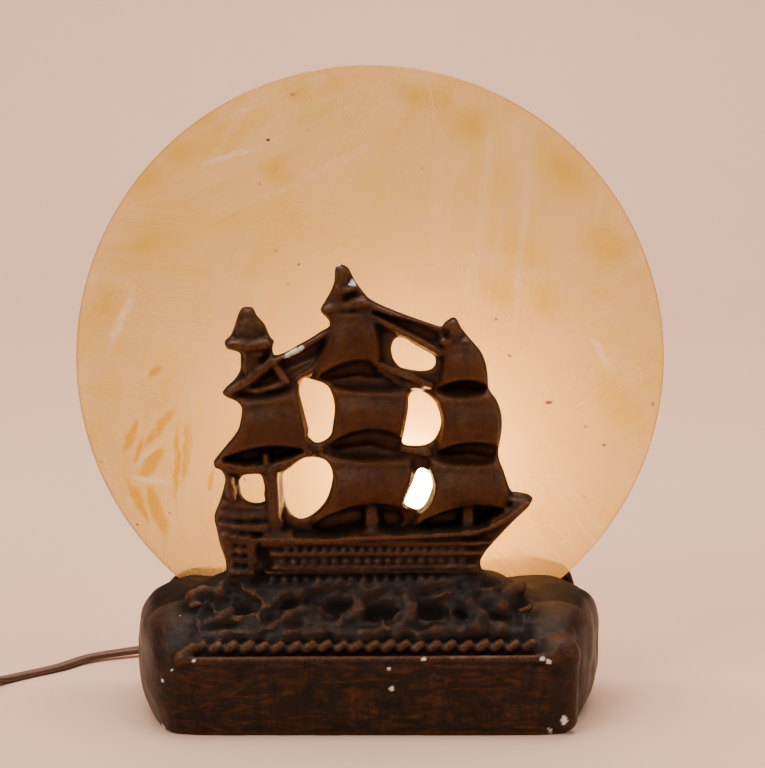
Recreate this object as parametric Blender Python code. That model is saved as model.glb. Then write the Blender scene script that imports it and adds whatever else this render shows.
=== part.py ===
# Ship lamp: a cast plaster ship on a plinth, a bulb behind it and a translucent disc standing in a slot.
# Lengths are written in millimetres and turned into metres by MM. X right, Y to the back, Z up.
import math

import bmesh
import bpy
from mathutils import Matrix, Vector

MM = 0.001
GAP = 0.3

# plinth
BASE_FRONT = -54.0
BASE_BACK = 54.0

# the ship is made in its own frame and then set on the plinth
SHIP_Y = -19.0
SHIP_LIFT = 1.5

# disc and its slot
DISC_R = 127.0
DISC_Z = 140.4
DISC_Y = 40.0
DISC_THICK = 3.0
SLOT_FLOOR = 24.0
SLOT_HALF = 88.5

# bulb, socket and the bay that they stand in
BULB_X = 17.8
BULB_Y = 14.0
GLASS_Z = 88.0
GLASS_R = 17.5
BAY_R = 19.0
BAY_FLOOR = 24.0
WELL_R = 13.0
WELL_TOP = 12.0
STEM_HOLE_R = 5.1
SOCKET_R = 16.0
SOCKET_TOP = 66.0

# cord: a flat lead, its way out, and the coil of spare length
CORD_THICK = 2.7
EXIT_X = -62.0
EXIT_Z = 8.0
GROOVE_WIDE = 8.0
COIL_X = -241.5
COIL_Y = -10.0
COIL_IN = 17.0
COIL_OUT = 42.5
COIL_LOW = 0.9
COIL_HIGH = 6.2
PLUG_Z = 12.0
PLUG_TURN = 120.0
PLUG_LONG = 24.0
TAIL_R = 13.8
BLADE_SLOT = 3.45

# in-line switch, lying along the cord
SWITCH_X = -180.5
SWITCH_Y = 2.6
SWITCH_TURN = 228.0
SWITCH_LONG = 36.0
SWITCH_WIDE = 17.0
SWITCH_HIGH = 13.0
WHEEL_ALONG = 3.0
WHEEL_ACROSS = 4.6
SCREW_ALONG = -9.5

for leftover in list(bpy.data.objects):
    bpy.data.objects.remove(leftover)


# ---------------------------------------------------------------- helpers

def material(name, colour, roughness, metallic=0.0):
    mat = bpy.data.materials.new(name)
    mat.use_nodes = True
    shader = mat.node_tree.nodes["Principled BSDF"]
    shader.inputs["Base Color"].default_value = (*colour, 1.0)
    shader.inputs["Roughness"].default_value = roughness
    shader.inputs["Metallic"].default_value = metallic
    return mat


def make(name, bm, mat, smooth=False):
    bmesh.ops.remove_doubles(bm, verts=bm.verts, dist=1e-7)
    bmesh.ops.recalc_face_normals(bm, faces=bm.faces)
    mesh = bpy.data.meshes.new(name)
    bm.to_mesh(mesh)
    bm.free()
    obj = bpy.data.objects.new(name, mesh)
    bpy.context.scene.collection.objects.link(obj)
    if mat:
        obj.data.materials.append(mat)
    if smooth:
        obj.data.shade_smooth()
        obj.data.set_sharp_from_angle(angle=math.radians(35))
    return obj


def loft(rings, closed=False):
    """A bmesh skin over equal rings of points in millimetres. Open ends get a cap."""
    bm = bmesh.new()
    rows = [[bm.verts.new(Vector(p) * MM) for p in ring] for ring in rings]
    pairs = list(zip(rows, rows[1:] + rows[:1])) if closed else list(zip(rows, rows[1:]))
    for low, high in pairs:
        for i in range(len(low)):
            j = (i + 1) % len(low)
            bm.faces.new((low[i], low[j], high[j], high[i]))
    if not closed:
        bm.faces.new(rows[0][::-1])
        bm.faces.new(rows[-1])
    return bm


def turned(name, profile, mat, centre=(0, 0, 0), steps=24, ring=False, tilt=None):
    """A body turned about Z from (radius, height) points. ring: the profile closes on itself."""
    rings = []
    for radius, height in profile:
        turn = [2 * math.pi * k / steps for k in range(steps)]
        rings.append([(radius * math.cos(a), radius * math.sin(a), height) for a in turn])
    bm = loft(rings, closed=ring)
    place = Matrix.Translation(Vector(centre) * MM)
    if tilt:
        place = place @ tilt
    bm.transform(place)
    return make(name, bm, mat, smooth=True)


def block(name, low, high, mat=None, spin=0.0, centre=(0, 0, 0)):
    """A plain box between two corners, turned about Z and then moved to centre."""
    (x0, y0, z0), (x1, y1, z1) = low, high
    foot = [(x0, y0), (x1, y0), (x1, y1), (x0, y1)]
    bm = loft([[(x, y, z) for x, y in foot] for z in (z0, z1)])
    bm.transform(Matrix.Translation(Vector(centre) * MM) @ Matrix.Rotation(math.radians(spin), 4, "Z"))
    return make(name, bm, mat)


def upright(name, outline, front, back, mat=None, inset=0.0, swell=0.0):
    """An outline in X and Z made solid between two depths. swell: its middle stands forward."""
    mid_x = sum(p[0] for p in outline) / len(outline)
    mid_z = sum(p[1] for p in outline) / len(outline)
    small = [(x + (mid_x - x) * inset, z + (mid_z - z) * inset) for x, z in outline]
    rings = [[(x, back, z) for x, z in outline], [(x, front, z) for x, z in outline]]
    if inset:
        rings.append([(x, front - swell, z) for x, z in small])
    return make(name, loft(rings), mat)


def holed(name, outline, holes, front, back, mat):
    """Like upright, with holes right through."""
    bm = bmesh.new()
    for loop in [outline, *holes]:
        verts = [bm.verts.new(Vector((x, front, z)) * MM) for x, z in loop]
        for i, vert in enumerate(verts):
            bm.edges.new((vert, verts[(i + 1) % len(verts)]))
    bmesh.ops.triangle_fill(bm, use_beauty=True, edges=bm.edges)
    skin = bmesh.ops.extrude_face_region(bm, geom=bm.faces[:])
    moved = [item for item in skin["geom"] if isinstance(item, bmesh.types.BMVert)]
    bmesh.ops.translate(bm, verts=moved, vec=Vector((0, back - front, 0)) * MM)
    return make(name, bm, mat)


def combine(target, other, operation):
    """Applies one exact boolean and removes the other body."""
    mod = target.modifiers.new(operation.lower(), "BOOLEAN")
    mod.operation = operation
    mod.solver = "EXACT"
    mod.object = other
    graph = bpy.context.evaluated_depsgraph_get()
    mesh = bpy.data.meshes.new_from_object(target.evaluated_get(graph))
    target.modifiers.clear()
    target.data = mesh
    bpy.data.objects.remove(other)


def smooth_way(points, spacing):
    """Points read at an even spacing from a smooth curve through the route's own points."""
    way = [Vector(p) for p in points]
    way = [2 * way[0] - way[1], *way, 2 * way[-1] - way[-2]]
    fine = []
    for a, b, c, d in zip(way, way[1:], way[2:], way[3:]):
        for k in range(20):
            t = k / 20
            fine.append(0.5 * ((2 * b) + (c - a) * t + (2 * a - 5 * b + 4 * c - d) * t * t
                               + (3 * b - a - 3 * c + d) * t ** 3))
    fine.append(way[-2])
    length = sum((q - p).length for p, q in zip(fine, fine[1:]))
    count = max(2, round(length / spacing))
    even = [fine[0]]
    walked = 0.0
    for p, q in zip(fine, fine[1:]):
        step = (q - p).length
        while len(even) < count and walked + step >= len(even) * length / count:
            even.append(p.lerp(q, (len(even) * length / count - walked) / step))
        walked += step
    even.append(fine[-1])
    return even


def tube(name, points, radius, mat, spacing=7.0, sides=2):
    """A round lead along a smooth route."""
    curve = bpy.data.curves.new(name, "CURVE")
    curve.dimensions = "3D"
    curve.bevel_depth = radius * MM
    curve.bevel_resolution = sides
    curve.use_fill_caps = True
    route = smooth_way(points, spacing)
    spline = curve.splines.new("POLY")
    spline.points.add(len(route) - 1)
    for spot, place in zip(spline.points, route):
        spot.co = (*(place * MM), 1.0)
    obj = bpy.data.objects.new(name, curve)
    bpy.context.scene.collection.objects.link(obj)
    obj.data.materials.append(mat)
    return obj


# ---------------------------------------------------------------- materials

BRONZE = material("bronze_paint", (0.075, 0.042, 0.024), 0.45, 0.3)
AMBER = material("amber_sheet", (0.86, 0.68, 0.42), 0.25)
GLASS = material("bulb_glass", (0.95, 0.9, 0.82), 0.1)
STEM_GLASS = material("stem_glass", (0.8, 0.85, 0.85), 0.1)
TUNGSTEN = material("tungsten", (0.5, 0.45, 0.4), 0.4, 1.0)
LEAD_WIRE = material("lead_wire", (0.6, 0.55, 0.5), 0.35, 1.0)
CAP_BRASS = material("cap_brass", (0.75, 0.6, 0.3), 0.3, 1.0)
CAP_BLACK = material("cap_insulator", (0.02, 0.02, 0.025), 0.2)
SOLDER = material("solder", (0.6, 0.6, 0.58), 0.4, 1.0)
PORCELAIN = material("socket_body", (0.75, 0.72, 0.66), 0.25)
SHELL_BRASS = material("shell_brass", (0.7, 0.55, 0.28), 0.35, 1.0)
FIBRE = material("fibre_block", (0.12, 0.09, 0.07), 0.6)
SPRING_BRASS = material("spring_brass", (0.78, 0.62, 0.3), 0.3, 1.0)
SCREW_STEEL = material("screw_steel", (0.55, 0.54, 0.52), 0.35, 1.0)
ZINC = material("zinc_steel", (0.5, 0.5, 0.48), 0.45, 1.0)
BUSH_RUBBER = material("bush_rubber", (0.03, 0.025, 0.02), 0.7)
CORD_BROWN = material("cord_brown", (0.1, 0.04, 0.022), 0.5)
TIE_PAPER = material("tie_paper", (0.55, 0.5, 0.42), 0.7)
PHENOLIC = material("brown_phenolic", (0.06, 0.028, 0.018), 0.3)
PLUG_BROWN = material("plug_brown", (0.055, 0.028, 0.02), 0.4)
BLADE_BRASS = material("blade_brass", (0.72, 0.58, 0.32), 0.3, 1.0)
CARD = material("plug_card", (0.3, 0.22, 0.14), 0.8)


# ---------------------------------------------------------------- ship and plinth

# the ship's whole edge, going round from the stern's foot over the sails to the bow
SHIP_EDGE = [
    (-59, 44), (-60, 62), (-63, 77), (-63.5, 84), (-59.5, 96), (-64, 104), (-56, 114), (-52.5, 124),
    (-55, 130), (-60.5, 133), (-54, 140), (-52.5, 149), (-59, 152.5), (-56.5, 157), (-52, 168),
    (-47, 168), (-45, 163), (-39, 155), (-39, 148.5), (-30, 152.5), (-17, 160), (-16, 162), (-20, 167),
    (-15, 176), (-14, 184), (-12, 186.5), (-8.5, 184.5), (-4, 176), (0, 171.5), (13, 166), (29, 160),
    (31, 163), (35, 164.5), (40, 156.5), (47, 147.5), (48.5, 136), (53, 128.5), (54.5, 120), (53, 107),
    (57, 95), (60, 92), (67, 90), (65, 85), (52, 72), (46, 63), (47, 44)]

# see-through openings between the masts, sails and webs
OPENINGS = [
    [(-26, 139), (-19, 137.5), (-15, 132), (-14.5, 120), (-18, 113.5), (-25, 114.5), (-26, 123), (-28.5, 134)],
    [(9, 151), (11, 156), (18, 153), (27, 148), (26, 143), (17, 142.5), (10, 146)],
    [(16, 132), (20, 134.5), (26, 130), (29.5, 121), (27, 113.5), (19, 111), (13.5, 112.5), (15, 121)],
    [(20, 102), (25, 100), (26, 94.5), (21, 84.5), (14, 87), (17.5, 95)],
    [(-35.5, 99), (-29.5, 104.5), (-22, 106.5), (-16, 103), (-15, 97), (-20, 85.5), (-28.5, 80.5), (-34, 85)],
    [(-53, 98), (-48, 99.5), (-44, 99), (-43, 88.5), (-48, 87), (-53, 91)]]

# sails, each one swelling forward of the webs
SAILS = [
    [(-60, 105), (-38, 108), (-26, 114), (-27.5, 125), (-32, 137), (-58, 132), (-51.5, 124), (-54, 115)],
    [(-17, 142), (-2, 146), (8, 144), (8.5, 156), (2, 167), (-10, 172), (-16, 166), (-13.5, 152)],
    [(-15, 114), (0, 119), (14, 115), (15, 125), (14, 138), (2, 142), (-13, 140), (-13.5, 126)],
    [(-21, 82), (-6, 88), (13, 83), (18, 97), (14, 110), (0, 113), (-15, 108), (-14, 96)],
    [(28, 141), (36, 143), (47, 139), (46.5, 147), (39, 157), (33, 160), (27, 156), (28.5, 148)],
    [(29, 112), (40, 117), (52, 112), (53.5, 121), (50, 132), (38, 137), (27.5, 133), (30, 122)],
    [(23, 82), (37, 88), (51, 83), (54, 97), (51, 108), (40, 111), (27, 108), (27, 95)]]

HULL = [(-58, 56), (-61, 70), (-62.5, 80), (-40, 76), (0, 75.5), (36, 77), (52, 82), (65, 88.5), (51, 73),
        (45, 62), (45, 52), (-57, 52)]


def plinth_ring(z, left, right, front, back, square):
    """One level of the plinth: a rounded rectangle. square: how square its corners are."""
    points = []
    for k in range(40):
        a = 2 * math.pi * (k + 0.5) / 40
        c, s = math.cos(a), math.sin(a)
        x = math.copysign(abs(c) ** (2 / square), c)
        y = math.copysign(abs(s) ** (2 / square), s)
        points.append((x * (right if x > 0 else -left), y * (back if y > 0 else -front), z))
    return points


def casting():
    levels = [
        (0, -86, 85, BASE_FRONT + 1, BASE_BACK - 2, 7),
        (3, -90, 89, BASE_FRONT, BASE_BACK, 7),
        (14, -94, 92, BASE_FRONT, BASE_BACK, 6),
        (25, -97, 96, BASE_FRONT, BASE_BACK, 6),
        (30, -96, 96, BASE_FRONT + 1, BASE_BACK, 6),
        (34, -95, 95, BASE_FRONT + 6, BASE_BACK, 6),
        (40, -92, 93, BASE_FRONT + 14, BASE_BACK, 5),
        (44, -90, 91, BASE_FRONT + 20, BASE_BACK - 2, 4),
        (46, -86, 87, BASE_FRONT + 25, BASE_BACK - 5, 4)]
    body = make("ship_casting", loft([plinth_ring(*level) for level in levels]), BRONZE)
    mound = [[(x, y, z) for x, y in foot] for z, foot in (
        (40, [(-74, -44), (68, -44), (68, -7), (-74, -7)]),
        (47, [(-68, -38), (62, -38), (62, -8), (-68, -8)]),
        (57, [(-62, -31), (50, -31), (50, -10), (-62, -10)]))]
    combine(body, make("mound", loft(mound), None), "UNION")
    ship = holed("ship", SHIP_EDGE, OPENINGS, -6.0, 6.0, None)
    combine(ship, upright("hull", HULL, -10.0, 8.0, inset=0.04, swell=1.5), "UNION")
    for sail in SAILS:
        combine(ship, upright("sail", sail, -8.0, 7.0, inset=0.3, swell=3.0), "UNION")
    ship.data.transform(Matrix.Translation(Vector((0, SHIP_Y, SHIP_LIFT)) * MM))
    combine(body, ship, "UNION")
    slot_low = (-SLOT_HALF, DISC_Y - DISC_THICK / 2 - GAP, SLOT_FLOOR)
    slot_high = (SLOT_HALF, DISC_Y + DISC_THICK / 2 + GAP, 60)
    combine(body, block("slot", slot_low, slot_high), "DIFFERENCE")
    at = (BULB_X, BULB_Y, 0)
    combine(body, turned("bay", [(BAY_R, BAY_FLOOR), (BAY_R, 60)], None, at, 32), "DIFFERENCE")
    combine(body, turned("stem_hole", [(STEM_HOLE_R, 5), (STEM_HOLE_R, 30)], None, at), "DIFFERENCE")
    combine(body, turned("well", [(WELL_R, -5), (WELL_R, WELL_TOP)], None, at), "DIFFERENCE")
    half = GROOVE_WIDE / 2
    along = block("groove_x", (EXIT_X - half, BULB_Y - half, -5), (BULB_X, BULB_Y + half, 8.5))
    combine(body, along, "DIFFERENCE")
    back = block("groove_y", (EXIT_X - half, BULB_Y - half + 1, -5), (EXIT_X + half, 44, 8.7))
    combine(body, back, "DIFFERENCE")
    hole = turned("hole", [(4.0, 34), (4.0, 60)], None, (EXIT_X, 0, EXIT_Z), tilt=Matrix.Rotation(-math.pi / 2, 4, "X"))
    combine(body, hole, "DIFFERENCE")
    return body


casting()


# ---------------------------------------------------------------- disc

def disc():
    """A round sheet, cut straight where it stands in the slot."""
    foot = SLOT_FLOOR + GAP
    start = math.asin((foot - DISC_Z) / DISC_R)
    steps = 95
    turn = math.pi - 2 * start
    outline = []
    for k in range(steps + 1):
        a = start + turn * k / steps
        outline.append((DISC_R * math.cos(a), DISC_Z + DISC_R * math.sin(a)))
    edge = 0.4
    rings = []
    for y, less in ((-DISC_THICK / 2, edge), (-DISC_THICK / 2 + edge, 0), (DISC_THICK / 2 - edge, 0),
                    (DISC_THICK / 2, edge)):
        share = 1 - less / DISC_R
        rings.append([(x * share, DISC_Y + y, max(foot + less, DISC_Z + (z - DISC_Z) * share)) for x, z in outline])
    return make("disc", loft(rings), AMBER, smooth=True)


disc()


# ---------------------------------------------------------------- socket

def socket():
    at = (BULB_X, BULB_Y, 0)
    low = BAY_FLOOR + GAP
    body = turned("socket_body", [
        (STEM_HOLE_R, low), (SOCKET_R - 1, low), (SOCKET_R, low + 1), (SOCKET_R, 36), (15.6, 38), (15.6, SOCKET_TOP - 1),
        (15.0, SOCKET_TOP), (14.4, SOCKET_TOP), (14.4, 33.7), (3.0, 33.7), (3.0, 30), (STEM_HOLE_R, 30)],
        PORCELAIN, at, 32, ring=True)
    for side in (1, -1):
        tilt = Matrix.Rotation(side * math.pi / 2, 4, "Y")
        combine(body, turned("screw_hole", [(1.9, 9), (1.9, 20)], None, (BULB_X, BULB_Y, 29), 16, tilt=tilt), "DIFFERENCE")
        turned("terminal_screw_" + ("right" if side > 0 else "left"),
               [(1.6, 9.5), (1.6, 16.3), (3.0, 16.3), (3.0, 17.4), (2.2, 18.0)], SCREW_STEEL, (BULB_X, BULB_Y, 29), 16, tilt=tilt)
    shell = [(13.95, 40.6)]
    inner = []
    for k in range(7):
        shell.append((14.1 if k % 2 else 13.7, 42 + 3.4 * k))
        inner.append((13.7 if k % 2 else 13.3, 42 + 3.4 * k))
    shell.append((14.1, 65.2))
    turned("socket_shell", shell + [(13.6, 65.2)] + inner[::-1] + [(13.55, 40.6)], SHELL_BRASS, at, 32, ring=True)
    turned("socket_block", [(2.2, 34.0), (13.9, 34.0), (13.9, 40.2), (2.2, 40.2)], FIBRE, at, 24, ring=True)
    turned("centre_contact", [(1.8, 34.6), (1.8, 40.5), (5.0, 40.5), (5.0, 41.2), (3.2, 44.2), (1.5, 44.6)],
           SPRING_BRASS, at, 20)
    turned("socket_nipple", [(3.6, 5.0), (4.4, 5.0), (4.8, 5.4), (4.8, 29.2), (4.4, 29.6), (3.6, 29.6)], ZINC, at, 20, ring=True)
    turned("nipple_washer", [(5.2, 10.4), (9.5, 10.4), (9.5, 11.7), (5.2, 11.7)], ZINC, at, 24, ring=True)
    hexagon = [(8.0 * math.cos(math.pi * k / 3), 8.0 * math.sin(math.pi * k / 3)) for k in range(6)]
    nut = make("nipple_nut", loft([[(x + BULB_X, y + BULB_Y, z) for x, y in hexagon] for z in (6.9, 10.1)]), ZINC)
    combine(nut, turned("nut_bore", [(5.1, 0), (5.1, 20)], None, at, 20), "DIFFERENCE")
    for side, name in ((-1, "lead_left"), (1, "lead_right")):
        x = BULB_X + side * 1.5
        tube(name, [(x, BULB_Y, 5.0), (x, BULB_Y, 20), (x, BULB_Y, 33.2)], 0.9, CORD_BROWN, 12.0, 1)


socket()


# ---------------------------------------------------------------- bulb

def bulb():
    at = (BULB_X, BULB_Y, 0)
    outer = []
    for k in range(13):
        a = math.radians(90 - 11.5 * k)
        outer.append((max(GLASS_R * math.cos(a), 0.02), GLASS_Z + GLASS_R * math.sin(a)))
    outer += [(12.6, 72.5), (11.8, 69.5), (11.6, 62.0)]
    inner = [(max(r - 0.8 * (1 if r > 1 else 0), 0.02), z - (0.8 if z > GLASS_Z + 12 else 0)) for r, z in outer]
    inner[0] = (0.02, outer[0][1] - 0.8)
    turned("bulb_glass", outer + inner[::-1], GLASS, at, 36, ring=True)
    cap = [(12.3, 68.8), (12.8, 68.8), (13.0, 67.5)]
    cap += [(12.95 if k % 2 else 12.45, 65.5 - 2.2 * k) for k in range(8)]
    cap += [(9.6, 47.3), (9.2, 47.3), (12.0, 50.5), (12.0, 67.8)]
    turned("bulb_cap", cap, CAP_BRASS, at, 32, ring=True)
    turned("cap_insulator", [(4.9, 46.0), (9.0, 46.9), (9.0, 47.9), (10.6, 50.3), (4.9, 50.3)], CAP_BLACK, at, 24, ring=True)
    turned("tip_contact", [(1.5, 45.0), (4.0, 45.8), (4.5, 46.8), (4.5, 48.4), (2.5, 49.0)], SOLDER, at, 20)
    turned("bulb_stem", [(10.3, 62.2), (10.4, 63.0), (5.2, 70.0), (3.0, 78.0), (2.4, 82.0), (1.0, 82.4)], STEM_GLASS, at, 20)
    for side, name in ((-1, "support_left"), (1, "support_right")):
        x = BULB_X + side
        tube(name, [(x, BULB_Y, 82.8), (x + side * 1.5, BULB_Y, 86), (x + side * 6, BULB_Y, 94.0)], 0.35, LEAD_WIRE, 3.0, 0)
    arc = [(BULB_X - 6.4 * math.cos(math.pi * k / 6), BULB_Y + 1.2 + 3 * math.sin(math.pi * k / 6), 94.6) for k in range(7)]
    tube("filament", arc, 0.35, TUNGSTEN, 2.5, 0)


bulb()


# ---------------------------------------------------------------- cord inside, strain relief, cord outside

def cord():
    along_y = Matrix.Rotation(-math.pi / 2, 4, "X")
    low = 2.6
    tube("cord_inside", [(BULB_X, BULB_Y, low), (-20, BULB_Y, low), (EXIT_X + 6, BULB_Y, low),
                         (EXIT_X + 0.8, BULB_Y + 0.8, low), (EXIT_X, BULB_Y + 6, low), (EXIT_X, 36, EXIT_Z - 1.6),
                         (EXIT_X, 44.4, EXIT_Z - 0.4)], 2.0, CORD_BROWN, 4.0)
    turned("strain_relief", [(3.2, 45), (3.7, 45.5), (3.7, 54.3), (5.6, 54.3), (5.6, 55.3), (4.3, 56.3), (3.0, 74.0)],
           BUSH_RUBBER, (EXIT_X, 0, EXIT_Z), 24, tilt=along_y)
    lie = CORD_THICK / 2 + 0.7
    turn = math.radians(SWITCH_TURN)
    reach = SWITCH_LONG / 2 + 2 * GAP
    near = (SWITCH_X - reach * math.cos(turn), SWITCH_Y - reach * math.sin(turn), SWITCH_HIGH / 2)
    far = (SWITCH_X + reach * math.cos(turn), SWITCH_Y + reach * math.sin(turn), SWITCH_HIGH / 2)
    tube("cord_out", [(EXIT_X, 74.6, EXIT_Z), (EXIT_X - 0.4, 78.5, EXIT_Z - 0.3), (EXIT_X - 8, 86, 6.2),
                      (EXIT_X - 22, 88.5, 4.5), (-105, 80, 3.2), (-126, 69, 2.6), (-138.5, 53, lie), (-150, 41.5, lie),
                      (-161, 28.5, lie + 0.4), near], 2.0, CORD_BROWN)
    tube("cord_link", [far, (far[0] - 3.0, far[1] - 4.0, 6.0), (COIL_X + 43.3, COIL_Y - 14.0, 4.0),
                       (COIL_X + 40.5, COIL_Y - 22.5, 3.2), (COIL_X + 34.8, COIL_Y - 30.0, 3.0)], 2.0, CORD_BROWN, 4.0)
    turned("cord_coil", [(COIL_IN, COIL_LOW), (COIL_OUT, COIL_LOW), (COIL_OUT, COIL_HIGH), (COIL_IN, COIL_HIGH)],
           CORD_BROWN, (COIL_X, COIL_Y, 0), 48, ring=True)
    way = []
    for back, z in ((90, 3.2), (70, 3.8), (45, 6.5), (20, 9.8), (0, PLUG_Z)):
        a = math.radians(PLUG_TURN + back)
        way.append(Vector((COIL_X + TAIL_R * math.cos(a), COIL_Y + TAIL_R * math.sin(a), z)))
    a = math.radians(PLUG_TURN)
    way.append(way[-1] + 3 * Vector((math.sin(a), -math.cos(a), 0)))
    tube("cord_tail", way, 2.0, CORD_BROWN, 5.0)
    a = math.radians(255)
    mid = (COIL_IN + COIL_OUT) / 2
    half = (COIL_OUT - COIL_IN) / 2 + GAP
    band = [(-half, COIL_LOW - GAP), (half, COIL_LOW - GAP), (half, COIL_HIGH + GAP), (-half, COIL_HIGH + GAP)]
    wide = [(-half - 0.55, 0.02), (half + 0.55, 0.02), (half + 0.55, COIL_HIGH + 0.9), (-half - 0.55, COIL_HIGH + 0.9)]
    rings = [[(r, -1.8, z) for r, z in wide], [(r, 1.8, z) for r, z in wide],
             [(r, 1.8, z) for r, z in band], [(r, -1.8, z) for r, z in band]]
    bm = loft(rings, closed=True)
    place = Vector((COIL_X + mid * math.cos(a), COIL_Y + mid * math.sin(a), 0)) * MM
    bm.transform(Matrix.Translation(place) @ Matrix.Rotation(a, 4, "Z"))
    make("coil_tie", bm, TIE_PAPER)


cord()


# ---------------------------------------------------------------- in-line switch

def capsule(long, wide, z):
    """A level outline with round ends."""
    points = []
    r = wide / 2
    for k in range(16):
        a = -math.pi / 2 + math.pi * k / 15
        points.append((long / 2 - r + r * math.cos(a), r * math.sin(a), z))
    for k in range(16):
        a = math.pi / 2 + math.pi * k / 15
        points.append((-long / 2 + r + r * math.cos(a), r * math.sin(a), z))
    return points


def switch():
    place = Matrix.Translation(Vector((SWITCH_X, SWITCH_Y, 0)) * MM) @ Matrix.Rotation(math.radians(SWITCH_TURN), 4, "Z")
    middle = SWITCH_HIGH / 2
    shells = (
        ("switch_lower", [(0.02, 2.0), (1.5, 0), (middle - 0.15, 0)]),
        ("switch_upper", [(middle + 0.15, 0), (SWITCH_HIGH - 1.5, 0), (SWITCH_HIGH, 2.0)]))
    for name, levels in shells:
        bm = loft([capsule(SWITCH_LONG - 2 * less, SWITCH_WIDE - 2 * less, z) for z, less in levels])
        bm.transform(place)
        shell = make(name, bm, PHENOLIC)
        spot = place @ (Vector((WHEEL_ALONG, WHEEL_ACROSS, 0)) * MM) / MM
        pit = [(7.6, middle - 2.9), (7.6, middle + 2.9)]
        combine(shell, turned("wheel_pit", pit, None, spot, 28), "DIFFERENCE")
        bore = place @ (Vector((SCREW_ALONG, 0, 0)) * MM) / MM
        combine(shell, turned("screw_bore", [(1.9, -2), (1.9, 20)], None, bore, 16), "DIFFERENCE")
        wide_bore = (3.6, -2, 2.7) if name == "switch_lower" else (3.6, SWITCH_HIGH - 2.4, 20)
        combine(shell, turned("head_bore", [(wide_bore[0], wide_bore[1]), (wide_bore[0], wide_bore[2])], None, bore, 16),
                "DIFFERENCE")
    wheel = []
    for z, less in ((-2.5, 0.5), (-2.0, 0), (2.0, 0), (2.5, 0.5)):
        ring = []
        for k in range(48):
            a = 2 * math.pi * k / 48
            r = (7.2 if k % 2 else 6.7) - less
            ring.append((r * math.cos(a), r * math.sin(a), middle + z))
        wheel.append(ring)
    bm = loft(wheel)
    centre = place @ (Vector((WHEEL_ALONG, WHEEL_ACROSS, 0)) * MM)
    obj = make("switch_wheel", bm, PHENOLIC)
    obj.location = centre
    bore = place @ (Vector((SCREW_ALONG, 0, 0)) * MM) / MM
    turned("switch_screw", [(1.5, 2.2), (1.5, SWITCH_HIGH - 2.1), (3.2, SWITCH_HIGH - 2.1), (3.2, SWITCH_HIGH - 1.0),
                            (2.2, SWITCH_HIGH - 0.4)], SCREW_STEEL, bore, 16)
    hexagon = [(3.2 * math.cos(math.pi * k / 3), 3.2 * math.sin(math.pi * k / 3)) for k in range(6)]
    nut = make("switch_nut", loft([[(x + bore.x, y + bore.y, z) for x, y in hexagon] for z in (0.4, 2.4)]), SCREW_STEEL)
    combine(nut, turned("nut_bore", [(1.8, -2), (1.8, 5)], None, bore, 16), "DIFFERENCE")


switch()


# ---------------------------------------------------------------- plug

def plug():
    """A flat moulded plug lying on the coil: made along +X with its back at the origin, then put in place."""
    rings = []
    for along, wide, high in ((0, 6, 5), (3, 8, 7), (9, 13, 9), (14, 21, 10.8), (22, 24, 10.8), (24, 23, 10)):
        ring = []
        for k in range(24):
            a = 2 * math.pi * k / 24
            c, s = math.cos(a), math.sin(a)
            ring.append((along, math.copysign(abs(c) ** 0.6, c) * wide / 2, math.copysign(abs(s) ** 0.6, s) * high / 2))
        rings.append(ring)
    body = make("plug_body", loft(rings), PLUG_BROWN, smooth=True)
    face = PLUG_LONG + GAP
    card = []
    for k in range(24):
        c, s = math.cos(2 * math.pi * k / 24), math.sin(2 * math.pi * k / 24)
        card.append((math.copysign(abs(c) ** 0.6, c) * 10.5, math.copysign(abs(s) ** 0.6, s) * 4.9))
    sheet = make("plug_card", loft([[(x, y, z) for y, z in card] for x in (face, face + 0.6)]), CARD)
    pieces = [body, sheet]
    for y, name in ((-6.35, "blade_front"), (6.35, "blade_back")):
        slit = block("slit", (face - 5, y - 1.0, -BLADE_SLOT), (face + 5, y + 1.0, BLADE_SLOT))
        combine(sheet, slit, "DIFFERENCE")
        slot = block("slot", (18, y - 1.0, -BLADE_SLOT), (face + 5, y + 1.0, BLADE_SLOT))
        combine(body, slot, "DIFFERENCE")
        tip = face + 16.5
        outline = [(18.4, -3.15), (tip - 2, -3.15), (tip, -1.8), (tip, 1.8), (tip - 2, 3.15), (18.4, 3.15)]
        blade = upright(name, outline, y - 0.7, y + 0.7, BLADE_BRASS)
        eye = turned("eye", [(1.6, -30), (1.6, 60)], None, (tip - 4, 0, 0), 16, tilt=Matrix.Rotation(-math.pi / 2, 4, "X"))
        combine(blade, eye, "DIFFERENCE")
        pieces.append(blade)
    turn = math.radians(PLUG_TURN)
    spot = Vector((COIL_X + TAIL_R * math.cos(turn), COIL_Y + TAIL_R * math.sin(turn), PLUG_Z))
    heading = Vector((math.sin(turn), -math.cos(turn), 0))
    spot += heading * (3 + GAP)
    place = Matrix.Translation(spot * MM) @ Matrix.Rotation(turn - math.pi / 2, 4, "Z")
    for piece in pieces:
        piece.data.transform(place)


plug()
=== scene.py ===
import math

import bmesh
import bpy
import numpy as np
from mathutils import Matrix, Vector


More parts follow.
